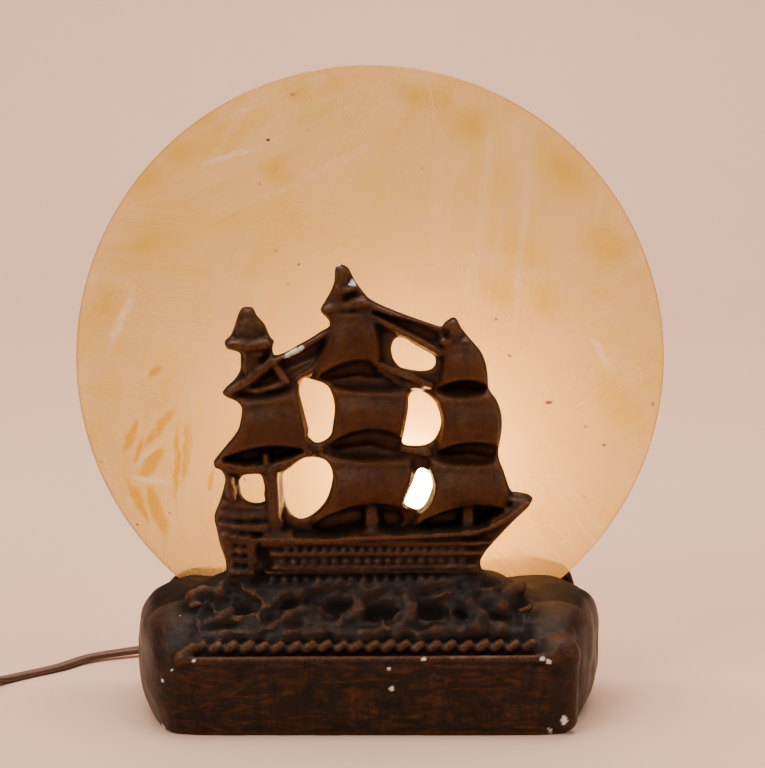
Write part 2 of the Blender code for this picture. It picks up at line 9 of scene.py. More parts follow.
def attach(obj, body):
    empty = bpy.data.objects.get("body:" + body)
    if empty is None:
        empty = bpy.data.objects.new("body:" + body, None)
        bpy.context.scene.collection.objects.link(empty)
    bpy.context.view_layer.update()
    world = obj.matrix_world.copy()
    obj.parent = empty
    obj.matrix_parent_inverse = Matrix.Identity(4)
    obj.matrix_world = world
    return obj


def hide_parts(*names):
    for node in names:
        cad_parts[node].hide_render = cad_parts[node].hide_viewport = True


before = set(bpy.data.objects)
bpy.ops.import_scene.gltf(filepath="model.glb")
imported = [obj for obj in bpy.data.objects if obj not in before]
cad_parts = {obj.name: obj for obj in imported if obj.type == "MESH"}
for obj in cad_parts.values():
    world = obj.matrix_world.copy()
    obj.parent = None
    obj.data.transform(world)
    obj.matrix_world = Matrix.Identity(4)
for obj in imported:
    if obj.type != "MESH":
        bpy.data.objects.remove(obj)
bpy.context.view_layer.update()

# Lengths are in millimetres and turned into metres by MM. X right, Y to the back, Z up.
MM = 0.001

# plinth, ship, disc
SHIP_Y = -19.0
SHIP_LIFT = 1.5
DISC_R = 127.0
DISC_Z = 140.4
DISC_Y = 40.0
DISC_THICK = 3.0
SLOT_FLOOR = 24.0
SLOT_HALF = 88.5

# bulb, socket and bay
BULB_X = 17.8
BULB_Y = 14.0
GLASS_Z = 88.0
GLASS_R = 17.5
BAY_R = 19.0
BAY_FLOOR = 24.0
WELL_R = 13.0
WELL_TOP = 12.0
STEM_HOLE_R = 5.1
SOCKET_R = 16.0
SOCKET_TOP = 66.0
THREAD_PITCH = 3.63

# cord, coil, switch, plug
CORD_WIDE = 5.3
CORD_THICK = 2.7
EXIT_X = -62.0
EXIT_Z = 8.0
COIL_X = -241.5
COIL_Y = -10.0
PLUG_Z = 12.0
PLUG_TURN = 120.0
TAIL_R = 13.8
COIL_START = -48.0
SWITCH_X = -180.5
SWITCH_Y = 2.6
SWITCH_TURN = 228.0
SWITCH_LONG = 36.0
SWITCH_WIDE = 17.0
SWITCH_HIGH = 13.0
WHEEL_ALONG = 3.0
WHEEL_ACROSS = 4.6
SCREW_ALONG = -9.5

# cuts in the casting run from below it to above it
BELOW = -20.0
ABOVE = 240.0

# the casting's grid
VOXEL = 0.65


# ---------------------------------------------------------------- camera

def camera():
    """The one camera: in front of the lamp, looking slightly down."""
    data = bpy.data.cameras.new("camera")
    data.lens = 113.7
    data.sensor_width = 36.0
    data.sensor_fit = "AUTO"
    data.clip_end = 20.0
    obj = bpy.data.objects.new("camera", data)
    bpy.context.scene.collection.objects.link(obj)
    rise = math.radians(7.5)
    aim = Vector((5.4, 40.0, 130.4)) * MM
    obj.location = aim + Vector((0, -math.cos(rise), math.sin(rise))) * 1.05
    obj.rotation_euler = (math.pi / 2 - rise, 0, 0)
    bpy.context.scene.camera = obj


camera()


# ---------------------------------------------------------------- mesh helpers

def add(name, bm, mats, smooth=40.0):
    """A new object from a bmesh, with its materials and smooth faces."""
    bmesh.ops.recalc_face_normals(bm, faces=bm.faces)
    mesh = bpy.data.meshes.new(name)
    bm.to_mesh(mesh)
    bm.free()
    obj = bpy.data.objects.new(name, mesh)
    bpy.context.scene.collection.objects.link(obj)
    for mat in mats if isinstance(mats, (list, tuple)) else [mats]:
        mesh.materials.append(mat)
    if smooth:
        mesh.shade_smooth()
        mesh.set_sharp_from_angle(angle=math.radians(smooth))
    return obj


def loft(rings, closed=False):
    """A bmesh skin over equal rings of points in millimetres. Open ends get a cap."""
    bm = bmesh.new()
    rows = [[bm.verts.new(Vector(p) * MM) for p in ring] for ring in rings]
    pairs = list(zip(rows, rows[1:] + rows[:1])) if closed else list(zip(rows, rows[1:]))
    for low, high in pairs:
        for i in range(len(low)):
            j = (i + 1) % len(low)
            bm.faces.new((low[i], low[j], high[j], high[i]))
    if not closed:
        bm.faces.new(rows[0][::-1])
        bm.faces.new(rows[-1])
    return bm


def bar(x0, x1, y0, y1, z0, z1):
    """A straight block between two corners, in millimetres."""
    return loft([[(x0, y0, z), (x1, y0, z), (x1, y1, z), (x0, y1, z)] for z in (z0, z1)])


def turned(name, profile, mat, centre=(0, 0, 0), steps=64, ring=False, tilt=None, bend=None, smooth=40.0):
    """A body turned about Z from (radius, height) points. bend(a, r, z) may move a point."""
    rings = []
    for radius, height in profile:
        turn = [2 * math.pi * k / steps for k in range(steps)]
        spots = [(a, *(bend(a, radius, height) if bend else (radius, height))) for a in turn]
        rings.append([(r * math.cos(a), r * math.sin(a), z) for a, r, z in spots])
    bm = loft(rings, closed=ring)
    place = Matrix.Translation(Vector(centre) * MM)
    if tilt:
        place = place @ tilt
    bm.transform(place)
    return add(name, bm, mat, smooth)


def cut(target, other):
    """Takes the other body out of the target and removes it."""
    mod = target.modifiers.new("cut", "BOOLEAN")
    mod.operation = "DIFFERENCE"
    mod.solver = "EXACT"
    mod.object = other
    graph = bpy.context.evaluated_depsgraph_get()
    mesh = bpy.data.meshes.new_from_object(target.evaluated_get(graph))
    target.modifiers.clear()
    target.data = mesh
    bpy.data.objects.remove(other)
    mesh.shade_smooth()
    mesh.set_sharp_from_angle(angle=math.radians(35))


def smooth_way(points, spacing):
    """Points read at an even spacing from a smooth curve through the route's own points."""
    way = [Vector(p) for p in points]
    way = [2 * way[0] - way[1], *way, 2 * way[-1] - way[-2]]
    fine = []
    for a, b, c, d in zip(way, way[1:], way[2:], way[3:]):
        for k in range(16):
            t = k / 16
            fine.append(0.5 * ((2 * b) + (c - a) * t + (2 * a - 5 * b + 4 * c - d) * t * t
                               + (3 * b - a - 3 * c + d) * t ** 3))
    fine.append(way[-2])
    steps = [(q - p).length for p, q in zip(fine, fine[1:])]
    length = sum(steps)
    count = max(2, round(length / spacing))
    even = [fine[0]]
    walked = 0.0
    for (p, q), step in zip(zip(fine, fine[1:]), steps):
        while len(even) < count and walked + step >= len(even) * length / count:
            even.append(p.lerp(q, (len(even) * length / count - walked) / step))
        walked += step
    even.append(fine[-1])
    return even


# ---------------------------------------------------------------- material helpers

class Paint:
    """A Principled material and short ways to add nodes to it."""

    def __init__(self, name, colour=(0.8, 0.8, 0.8), roughness=0.5, metallic=0.0, **more):
        self.mat = bpy.data.materials.new(name)
        self.mat.use_nodes = True
        self.tree = self.mat.node_tree
        self.shader = self.tree.nodes["Principled BSDF"]
        self.shader.inputs["Base Color"].default_value = (*colour, 1.0)
        self.shader.inputs["Roughness"].default_value = roughness
        self.shader.inputs["Metallic"].default_value = metallic
        for key, value in more.items():
            self.shader.inputs[key.replace("_", " ")].default_value = value
        self.where = self.node("ShaderNodeTexCoord").outputs["Object"]

    def node(self, kind, **settings):
        node = self.tree.nodes.new(kind)
        for key, value in settings.items():
            setattr(node, key, value)
        return node

    def link(self, a, b):
        self.tree.links.new(a, b)

    def feed(self, socket, value):
        if isinstance(value, bpy.types.NodeSocket):
            self.link(value, socket)
        elif isinstance(value, tuple) and len(value) == 3 and socket.type == "RGBA":
            socket.default_value = (*value, 1.0)
        else:
            socket.default_value = value

    def stretched(self, scale=(1, 1, 1), turn=(0, 0, 0), source=None):
        node = self.node("ShaderNodeMapping")
        self.link(source or self.where, node.inputs["Vector"])
        node.inputs["Scale"].default_value = scale
        node.inputs["Rotation"].default_value = [math.radians(t) for t in turn]
        return node.outputs[0]

    def noise(self, scale, detail=4.0, rough=0.55, source=None, warp=0.0, out="Fac"):
        node = self.node("ShaderNodeTexNoise")
        self.link(source or self.where, node.inputs["Vector"])
        node.inputs["Scale"].default_value = scale
        node.inputs["Detail"].default_value = detail
        node.inputs["Roughness"].default_value = rough
        node.inputs["Distortion"].default_value = warp
        return node.outputs[out]

    def attribute(self, name):
        return self.node("ShaderNodeAttribute", attribute_name=name).outputs["Fac"]

    def span(self, source, low, high, to_low=0.0, to_high=1.0):
        node = self.node("ShaderNodeMapRange")
        self.feed(node.inputs["Value"], source)
        for key, value in (("From Min", low), ("From Max", high), ("To Min", to_low), ("To Max", to_high)):
            node.inputs[key].default_value = value
        return node.outputs[0]

    def math(self, operation, a, b=0.0):
        node = self.node("ShaderNodeMath", operation=operation)
        self.feed(node.inputs[0], a)
        self.feed(node.inputs[1], b)
        return node.outputs[0]

    def times(self, a, b):
        return self.math("MULTIPLY", a, b)

    def vector(self, operation, *values, out="Vector"):
        """One vector operation. Lengths and distances come out of the socket named Value."""
        node = self.node("ShaderNodeVectorMath", operation=operation)
        for socket, value in zip(node.inputs, values):
            self.feed(socket, value)
        return node.outputs[out]

    def mix(self, share, a, b):
        node = self.node("ShaderNodeMix", data_type="RGBA")
        self.feed(node.inputs["Factor"], share)
        self.feed(node.inputs[6], a)
        self.feed(node.inputs[7], b)
        return node.outputs[2]

    def colour(self, value):
        self.feed(self.shader.inputs["Base Color"], value)

    def rough(self, value):
        self.feed(self.shader.inputs["Roughness"], value)

    def bump(self, height, distance, strength=1.0):
        node = self.node("ShaderNodeBump")
        node.inputs["Strength"].default_value = strength
        node.inputs["Distance"].default_value = distance * MM
        self.feed(node.inputs["Height"], height)
        last = self.shader.inputs["Normal"].links
        if last:
            self.link(last[0].from_socket, node.inputs["Normal"])
        self.link(node.outputs[0], self.shader.inputs["Normal"])


# ---------------------------------------------------------------- materials

def bronze_paint():
    """Brown bronze paint over plaster: dark in the hollows, rubbed and given painted highlights on the high
    spots, darkened with painted shade on the flat tops and the ship's back faces, chipped to white.
    """
    p = Paint("bronze_paint", roughness=0.42, metallic=0.25, Specular_IOR_Level=0.21)
    rub_and_highlight = p.attribute("rub_and_highlight")
    hollow = p.attribute("hollow")
    sail = p.attribute("sail")
    panel = p.attribute("panel")
    chip = p.attribute("chip")
    level = p.attribute("level")
    panel_free = p.math("SUBTRACT", 1.0, p.math("MAXIMUM", panel, sail))
    grain = p.noise(900, 3, 0.6)
    cloud = p.noise(45, 5, 0.6)
    streak = p.noise(95, 7, 0.75, p.stretched((0.42, 1, 1.5), (0, 9, 0)), 2.2)
    cross = p.noise(130, 6, 0.75, p.stretched((1.5, 1, 0.34), (0, -14, 0)), 1.2)
    dark = p.mix(p.span(p.noise(75, 7, 0.75, warp=0.8), 0.38, 0.64), (0.0058, 0.0025, 0.0013),
                 (0.023, 0.0088, 0.0031))
    warm = p.mix(p.span(cloud, 0.3, 0.72), (0.042, 0.0120, 0.0017), (0.078, 0.0228, 0.0032))
    brushed = p.mix(p.span(streak, 0.47, 0.66), dark, (0.080, 0.0230, 0.0042))
    brushed = p.mix(p.times(p.span(cross, 0.50, 0.64), 0.75), brushed, (0.0060, 0.0034, 0.0024))
    body = p.mix(panel, dark, brushed)
    body = p.mix(p.times(sail, 0.9), body, warm)
    dabs = p.times(p.span(p.noise(190, 6, 0.75, p.stretched((1, 1, 0.35))), 0.47, 0.66), 0.9)
    body = p.mix(dabs, body, p.mix(0.6, body, (0.0075, 0.0045, 0.003)))
    scuff = p.times(p.span(p.noise(62, 7, 0.78, warp=1.2), 0.53, 0.66, 0, 0.5), panel_free)
    body = p.mix(scuff, body, (0.042, 0.0235, 0.0145))
    # rubbed wear and painted highlight: a copper tone on the high spots
    body = p.mix(p.times(rub_and_highlight, p.span(grain, 0.35, 0.62, 0.15, 0.85)), body, (0.118, 0.040, 0.0115))
    # painted highlight: grey glints on the raised points away from the panel and the sails
    grey_glint = p.times(p.times(rub_and_highlight, panel_free), p.span(p.noise(140, 4, 0.7), 0.55, 0.7, 0, 0.75))
    body = p.mix(grey_glint, body, (0.150, 0.105, 0.078))
    body = p.mix(p.times(hollow, 0.92), body, (0.0056, 0.0029, 0.0016))
    # painted shade: the flat tops behind the front and the ship's sides and back, where the bulb's light
    # falls, are darkened
    body = p.mix(p.times(level, 0.85), body, (0.0088, 0.0036, 0.0014))
    speck = p.noise(330, 2, 0.5)
    body = p.mix(p.span(speck, 0.76, 0.79, 0, 0.25), body, (0.20, 0.15, 0.11))
    body = p.mix(chip, body, p.mix(grain, (0.60, 0.54, 0.46), (0.78, 0.73, 0.66)))
    p.colour(body)
    # hollows, chips and flat tops are dull, the rest has a soft shine
    gloss = p.span(cloud, 0.3, 0.7, 0.36, 0.54)
    dull = p.math("MAXIMUM", p.math("MAXIMUM", hollow, chip), level)
    p.rough(p.math("ADD", gloss, p.times(dull, 0.5)))
    p.feed(p.shader.inputs["Metallic"], p.times(p.math("SUBTRACT", 1.0, chip), 0.25))
    p.bump(grain, 0.12, 0.5)
    p.bump(streak, 0.35, 0.5)
    p.bump(p.noise(300, 4, 0.6), 0.30, 0.6)
    p.bump(p.noise(95, 6, 0.7), 1.3, 0.6)
    return p.mat


# marks in the sheet, in its plane: from (x, z) to (x, z), half width
BLADES = [(-101, 114, -106.5, 101.5, 1.9), (-85, 119, -97.5, 104.5, 2.3), (-98.4, 106.6, -102.7, 96, 1.4),
          (-91, 101, -98.4, 91, 3.4), (-83.2, 111.5, -84.8, 78.5, 1.6), (-77.8, 114.5, -81.4, 87, 2.0),
          (-105, 88.3, -96.6, 70, 2.0), (-96, 84.5, -89.3, 65, 3.2), (-91, 138, -95, 134, 1.6),
          (-68, 92, -70, 84, 1.4)]
PALE_BLADES = [(-91, 104, -103.3, 93.7, 1.3), (-88.7, 87.6, -101.4, 88.9, 2.2),
               (-73.8, 225, -46.5, 232.5, 1.2), (-60, 139, -45, 131, 1.2), (-102, 170, -112, 148, 2.4),
               (96, 150, 103, 138, 1.8)]
CLOUDS = [(-84, 229, -78, 233, 7), (-98, 216, -93, 221, 7), (-74, 240, -65, 244, 5),
          (-30, 243, -10, 249, 9), (-43, 226, -37, 219, 6), (-34, 256, -28, 257, 4),
          (50, 175, 58, 168, 7), (60, 192, 70, 185, 8), (74, 170, 78, 162, 7), (40, 243, 46, 239, 9),
          (76, 228, 88, 219, 10), (99, 193, 108, 184, 9), (-88, 196, -104, 188, 9),
          (-112, 172, -116, 160, 7), (104, 128, 112, 116, 8), (14, 256, 30, 252, 6)]
SPECKS = [(76.6, 121.6, 77.8, 122.4, 0.9), (-43.2, 235.8, -42.8, 235.6, 0.8), (101, 103, 102, 103, 0.6),
          (60, 143, 61, 142.6, 0.6), (-80, 240, -79.6, 240, 0.5), (54, 159, 54.4, 159, 0.6)]

# how far the fans wander and the marks' edges are nudged, in metres, and a turn in radians
WANDER = 0.035
RAGGED = 0.005
FULL_TURN = 6.28


def amber_sheet():
    """A translucent straw-coloured sheet with frosty fans of yellow and pale streaks."""
    p = Paint("amber_sheet", roughness=0.3, Transmission_Weight=0.78, IOR=1.46)
    wander = p.vector("ADD", p.where,
                      p.vector("MULTIPLY", p.noise(28, 2, 0.5, out="Color"), (WANDER, WANDER, WANDER)))

    def fans(size, thin, low, high):
        """Fine lines inside irregular cells, each cell with its own direction."""
        cell = p.node("ShaderNodeTexVoronoi")
        border = p.node("ShaderNodeTexVoronoi", feature="DISTANCE_TO_EDGE")
        for node in (cell, border):
            p.link(wander, node.inputs["Vector"])
            node.inputs["Scale"].default_value = size
        split = p.node("ShaderNodeSeparateColor")
        p.link(cell.outputs["Color"], split.inputs[0])
        turn = p.node("ShaderNodeVectorRotate", rotation_type="Y_AXIS")
        p.link(p.where, turn.inputs["Vector"])
        p.link(p.times(split.outputs[0], FULL_TURN), turn.inputs["Angle"])
        lines = p.noise(thin, 4, 0.65, p.stretched((1, 1, 0.06), source=turn.outputs[0]), 0.5)
        inside = p.times(p.span(border.outputs["Distance"], 0.01, 0.16), p.span(split.outputs[1], 0.12, 0.5))
        return p.times(p.span(lines, low, high), inside)

    away = p.vector("SUBTRACT", p.where, (0, DISC_Y * MM, DISC_Z * MM))
    far = p.vector("LENGTH", p.vector("MULTIPLY", away, (1, 0, 1)), out="Value")
    # clear and even in the middle, streaked and cloudy towards the edge
    outer = p.span(far, 0.035, 0.085, 0.30, 1.0)
    nudge = p.vector("MULTIPLY_ADD", p.noise(160, 4, 0.5, out="Color"), (RAGGED, RAGGED, RAGGED), p.where)

    def marks(entries, solid, gone):
        """A mask of long ovals with ragged edges, full up to solid and nothing beyond gone."""
        total = 0.0
        for x0, z0, x1, z1, half in entries:
            place = p.node("ShaderNodeMapping", vector_type="TEXTURE")
            p.link(nudge, place.inputs["Vector"])
            middle_x = (x0 + x1) / 2 * MM + RAGGED / 2
            middle_z = (z0 + z1) / 2 * MM + RAGGED / 2
            place.inputs["Location"].default_value = (middle_x, DISC_Y * MM, middle_z)
            place.inputs["Rotation"].default_value = (0, -math.atan2(z1 - z0, x1 - x0), 0)
            reach = math.hypot(x1 - x0, z1 - z0) / 2 + half
            place.inputs["Scale"].default_value = (reach * MM, 1.0, half * MM)
            out = p.vector("LENGTH", place.outputs[0], out="Value")
            total = p.math("MAXIMUM", total, p.span(out, solid, gone, 1.0, 0.0))
        return total

    broad = p.times(fans(15, 105, 0.50, 0.60), outer)
    fine = p.times(fans(31, 420, 0.48, 0.60), outer)
    pale = fans(12, 90, 0.52, 0.68)
    cloud = p.noise(13, 4, 0.6, warp=1.0)
    tone = p.mix(p.span(cloud, 0.35, 0.65), (0.95, 0.665, 0.255), (0.99, 0.745, 0.34))
    patch = p.span(p.noise(9, 3, 0.5), 0.40, 0.60)
    haze = p.times(p.span(p.noise(16, 6, 0.7, warp=0.8), 0.48, 0.60), outer)
    tone = p.mix(p.times(haze, 0.65), tone, (0.90, 0.645, 0.11))
    tone = p.mix(p.times(broad, p.span(patch, 0, 1, 0.15, 0.7)), tone, (0.84, 0.585, 0.035))
    tone = p.mix(p.times(fine, 0.35), tone, (0.86, 0.60, 0.06))
    tone = p.mix(p.times(marks(CLOUDS, 0.2, 1.25), 0.85), tone, (0.84, 0.60, 0.05))
    tone = p.mix(marks(BLADES, 0.65, 1.05), tone, (0.78, 0.49, 0.012))
    tone = p.mix(p.times(marks(PALE_BLADES, 0.5, 1.1), 0.75), tone, (1.0, 0.86, 0.62))
    tone = p.mix(p.times(pale, 0.45), tone, (1.0, 0.87, 0.60))
    speck = p.noise(210, 1, 0.4)
    tone = p.mix(p.span(speck, 0.80, 0.815), tone, (0.12, 0.05, 0.02))
    tone = p.mix(marks(SPECKS, 0.6, 1.0), tone, (0.06, 0.03, 0.015))
    rim = p.span(far, (DISC_R - 0.9) * MM, (DISC_R - 0.3) * MM, 0, 0.75)
    tone = p.mix(rim, tone, (0.42, 0.14, 0.05))
    p.colour(tone)
    # painted glow: the sheet gives off light round the bulb's place, standing in for light that spreads
    # inside it, and the glow stays there when the sheet is lifted
    spot = p.node("ShaderNodeNewGeometry").outputs["Position"]
    lamp = p.vector("DISTANCE", spot, (BULB_X * MM, DISC_Y * MM, (GLASS_Z + 10) * MM), out="Value")
    glow = p.math("POWER", p.span(lamp, 0.010, 0.165, 1.0, 0.0), 3.0)
    lit = p.mix(0.8, tone, (1.0, 0.34, 0.035))
    p.feed(p.shader.inputs["Emission Color"], p.mix(glow, (0.0, 0.0, 0.0), lit))
    p.shader.inputs["Emission Strength"].default_value = 1.9
    p.rough(p.math("ADD", 0.24, p.times(broad, 0.18)))
    p.bump(broad, 0.15, 0.4)
    p.bump(p.noise(60, 2), 0.3, 0.25)
    return p.mat


def lit_glass():
    """Frosted glass that glows warm."""
    p = Paint("bulb_glass", (0.95, 0.9, 0.82), 0.35)
    frost = p.noise(1500, 2, 0.5)
    p.colour(p.mix(frost, (0.93, 0.86, 0.72), (0.98, 0.94, 0.86)))
    p.bump(frost, 0.05, 0.3)
    p.shader.inputs["Emission Color"].default_value = (1.0, 0.56, 0.20, 1.0)
    p.shader.inputs["Emission Strength"].default_value = 62.0
    return p.mat


def clear_glass():
    """Clear glass with a faint bloom."""
    p = Paint("stem_glass", (0.93, 0.96, 0.95), 0.05, Transmission_Weight=0.9, IOR=1.5)
    p.rough(p.span(p.noise(400, 3), 0.3, 0.7, 0.03, 0.12))
    return p.mat


def metal(name, colour, roughness, dirt=(0.1, 0.07, 0.04), brushed=0.0, worn=0.25):
    """Bare or plated metal with a tarnish in patches, fine scratches and a slight waviness."""
    p = Paint(name, colour, roughness, 1.0)
    patch = p.noise(160, 5, 0.6)
    line = p.noise(900, 3, 0.6, p.stretched((1, 1, 0.06)), 0.3)
    p.colour(p.mix(p.span(patch, 0.45, 0.75, 0, worn), colour, dirt))
    p.rough(p.math("ADD", p.span(patch, 0.3, 0.7, roughness - 0.06, roughness + 0.14),
                   p.times(p.span(line, 0.4, 0.7), 0.12)))
    p.bump(line, 0.02 + 0.04 * brushed, 0.5)
    p.bump(patch, 0.05, 0.2)
    return p.mat


def moulded(name, low, high, roughness, grain=0.06, swirl=0.0):
    """Moulded plastic, rubber or ceramic: two close tones, a fine skin and wear."""
    p = Paint(name, low, roughness)
    cloud = p.noise(110, 5, 0.6, warp=swirl)
    skin = p.noise(1400, 3, 0.6)
    p.colour(p.mix(p.span(cloud, 0.35, 0.68), low, high))
    p.rough(p.math("ADD", p.span(cloud, 0.3, 0.7, roughness - 0.05, roughness + 0.08),
                   p.times(skin, 0.06)))
    p.bump(skin, grain, 0.5)
    p.bump(p.noise(220, 3), 0.08, 0.25)
    return p.mat


BRONZE = bronze_paint()
AMBER = amber_sheet()
LIT = lit_glass()
STEM = clear_glass()
CAP_BRASS = metal("cap_brass", (0.78, 0.60, 0.30), 0.26)
SHELL_BRASS = metal("shell_brass", (0.68, 0.50, 0.24), 0.34, worn=0.4)
SPRING_BRASS = metal("spring_brass", (0.76, 0.58, 0.28), 0.3)
BLADE_BRASS = metal("blade_brass", (0.74, 0.58, 0.32), 0.28, brushed=1.0)
SCREW_STEEL = metal("screw_steel", (0.56, 0.55, 0.52), 0.32, (0.12, 0.09, 0.07), 0.5)
ZINC = metal("zinc_steel", (0.48, 0.49, 0.48), 0.45, (0.2, 0.19, 0.17), 0.5, 0.5)
SOLDER = metal("solder", (0.62, 0.62, 0.6), 0.38, (0.2, 0.2, 0.2))
WIRE = metal("lead_wire", (0.6, 0.54, 0.48), 0.3)
PORCELAIN = moulded("socket_body", (0.70, 0.66, 0.57), (0.80, 0.77, 0.70), 0.16, 0.01)
BLACK = moulded("cap_insulator", (0.012, 0.012, 0.015), (0.03, 0.028, 0.035), 0.15, 0.01)
FIBRE = moulded("fibre_block", (0.09, 0.06, 0.045), (0.16, 0.11, 0.08), 0.62)
RUBBER = moulded("bush_rubber", (0.018, 0.014, 0.012), (0.035, 0.028, 0.024), 0.62, 0.08)
CORD = moulded("cord_brown", (0.058, 0.020, 0.010), (0.088, 0.033, 0.017), 0.42, 0.05)
PHENOLIC = moulded("brown_phenolic", (0.042, 0.017, 0.010), (0.062, 0.026, 0.014), 0.24, 0.015, 3.0)
PLUG_BROWN = moulded("plug_brown", (0.045, 0.020, 0.012), (0.075, 0.034, 0.021), 0.42, 0.07)
CARD = moulded("plug_card", (0.24, 0.17, 0.10), (0.34, 0.25, 0.16), 0.82, 0.1)
TIE = moulded("tie_paper", (0.46, 0.40, 0.30), (0.62, 0.55, 0.44), 0.78, 0.12)


def hot_wire():
    """Glowing tungsten."""
    p = Paint("tungsten", (0.5, 0.45, 0.4), 0.4, 1.0)
    p.rough(p.span(p.noise(800, 3), 0.3, 0.7, 0.3, 0.5))
    p.shader.inputs["Emission Color"].default_value = (1.0, 0.6, 0.25, 1.0)
    p.shader.inputs["Emission Strength"].default_value = 60.0
    return p.mat


HOT = hot_wire()


# ---------------------------------------------------------------- cord

def spot_on_coil(degrees, radius, z):
    """A point at an angle and a distance from the coil's middle."""
    a = math.radians(degrees)
    return Vector((COIL_X + radius * math.cos(a), COIL_Y + radius * math.sin(a), z))


def cord_route():
    """The line that the cord follows, and how far its wide side is turned up, from 0 to 1, at each point."""
    turn = math.radians(SWITCH_TURN)
    along = Vector((math.cos(turn), math.sin(turn), 0))
    middle = Vector((SWITCH_X, SWITCH_Y, SWITCH_HIGH / 2))
    near = middle - along * (SWITCH_LONG / 2)
    far = middle + along * (SWITCH_LONG / 2)
    way = [
        ((EXIT_X, 73.0, EXIT_Z), 1), ((EXIT_X - 0.4, 78.5, EXIT_Z - 0.3), 1),
        ((EXIT_X - 8, 86, 6.2), 0.9), ((EXIT_X - 22, 88.5, 4.5), 0.5), ((-105, 80, 3.0), 0.1),
        ((-126, 69, 2.2), 0), ((-138.5, 53, 1.6), 0), ((-150, 41.5, 1.45), 0), ((-161, 28.5, 2.2), 0),
        (near, 0), (middle, 0), (far, 0), (far + Vector((-3.0, -4.0, -0.7)), 0.2),
        ((COIL_X + 43.3, COIL_Y - 14.0, 4.2), 0.7), ((COIL_X + 40.0, COIL_Y - 22.5, 3.6), 1)]
    outer, inner, step = 41.1, 18.5, CORD_THICK + 0.09
    turned_so_far = 0.0
    while outer - step * turned_so_far / 360.0 > inner:
        radius = outer - step * turned_so_far / 360.0
        entry = max(0.0, 1.0 - turned_so_far / 60.0)
        way.append((spot_on_coil(COIL_START - turned_so_far, radius + 2.6 * entry ** 2, 3.55), 1))
        turned_so_far += 22.5
    last = COIL_START - turned_so_far
    target = PLUG_TURN
    while target > last - 75:
        target -= 360.0
    span = last - target
    for share in (0.25, 0.5, 0.75):
        radius = inner + (TAIL_R - inner) * share
        radius -= 0.6 * math.sin(math.pi * share)
        way.append((spot_on_coil(last - span * share, radius, 3.6 + 8.2 * share ** 2), 1 - share))
    end = spot_on_coil(target, TAIL_R, PLUG_Z)
    a = math.radians(target)
    heading = Vector((math.sin(a), -math.cos(a), 0))
    way.append((end, 0))
    way.append((end + heading * 5.0, 0))
    return way


def cord():
    """The flat two-lobed cord along its route, and the line that it follows."""
    way = cord_route()
    points = [Vector(p) for p, _ in way]
    fine = smooth_way(points, 2.5)
    # the twist is read from the nearest of the route's own points, walking along it
    marks = [0.0]
    for p, q in zip(points, points[1:]):
        marks.append(marks[-1] + (q - p).length)
    walked = [0.0]
    for p, q in zip(fine, fine[1:]):
        walked.append(walked[-1] + (q - p).length)
    stretch = marks[-1] / walked[-1]
    up = np.interp([w * stretch for w in walked], marks, [u for _, u in way])
    outline = []
    lobe = CORD_THICK / 2
    shift = CORD_WIDE / 2 - lobe
    for k in range(20):
        a = 2 * math.pi * (k + 0.5) / 20
        c, s = math.cos(a), math.sin(a)
        wide = math.copysign(shift, c) + lobe * c
        high = lobe * s * (1.0 if abs(c) > 0.4 else 0.8)
        outline.append((wide if abs(c) > 0.4 else wide * 0.55, high))
    rings = []
    for i, spot in enumerate(fine):
        ahead = fine[min(i + 1, len(fine) - 1)] - fine[max(i - 1, 0)]
        ahead.normalize()
        side = ahead.cross(Vector((0, 0, 1)))
        side.normalize()
        top = side.cross(ahead)
        tilt = up[i] * math.pi / 2
        wide = side * math.cos(tilt) + top * math.sin(tilt)
        high = top * math.cos(tilt) - side * math.sin(tilt)
        rings.append([spot + wide * w + high * h for w, h in outline])
    obj = add("cord", loft(rings), CORD, 60.0)
    length = walked[-1] * MM
    print("cord length", round(length, 3))
    return obj, [tuple(p * MM) for p in fine]


def coil_tie():
    """A flat paper-covered tie round the coil's turns, a little raised on top where its ends meet."""
    a = math.radians(255)
    mid, half, low, high = 29.8, 13.4, 0.12, 7.0
    loop = [(-half, low + 1.5), (-half + 1.5, low), (0, low), (half - 1.5, low), (half, low + 1.5),
            (half, high - 1.5), (half - 1.5, high), (1.0, high + 0.2), (-1.0, high + 0.2),
            (-half + 1.5, high), (-half, high - 1.5)]
    rings = []
    count = len(loop)
    for i, (x, z) in enumerate(loop):
        nx = loop[(i + 1) % count][1] - loop[i - 1][1]
        nz = loop[i - 1][0] - loop[(i + 1) % count][0]
        size = math.hypot(nx, nz)
        nx, nz = nx / size * 0.28, nz / size * 0.28
        rings.append([(x - nx, -1.8, max(0.02, z - nz)), (x + nx, -1.8, max(0.02, z + nz)),
                      (x + nx, 1.8, max(0.02, z + nz)), (x - nx, 1.8, max(0.02, z - nz))])
    bm = loft(rings, closed=True)
    place = Matrix.Translation(Vector((COIL_X + mid * math.cos(a), COIL_Y + mid * math.sin(a), 0)) * MM)
    bm.transform(place @ Matrix.Rotation(a, 4, "Z"))
    return add("coil_tie_band", bm, TIE, 30.0)


cord_piece, cord_way = cord()
tie_piece = coil_tie()


def strain_relief():
    """A tapered rubber sleeve with a collar, a flange at the wall and rings moulded round it."""
    profile = [(0.3, 45.2), (3.2, 45.0), (3.7, 45.6), (3.7, 54.3), (5.4, 54.35), (5.6, 54.6), (5.6, 55.1),
               (5.3, 55.4), (4.4, 55.6)]
    for k in range(9):
        y = 57.0 + 1.75 * k
        r = 4.3 - 0.13 * k
        profile += [(r - 0.35, y - 0.65), (r, y - 0.4), (r, y + 0.4), (r - 0.35, y + 0.65)]
    profile += [(3.05, 73.0), (2.9, 73.8), (0.3, 74.0)]
    return turned("sleeve", profile, RUBBER, (EXIT_X, 0, EXIT_Z), 40,
                  tilt=Matrix.Rotation(-math.pi / 2, 4, "X"), smooth=30)


relief = strain_relief()


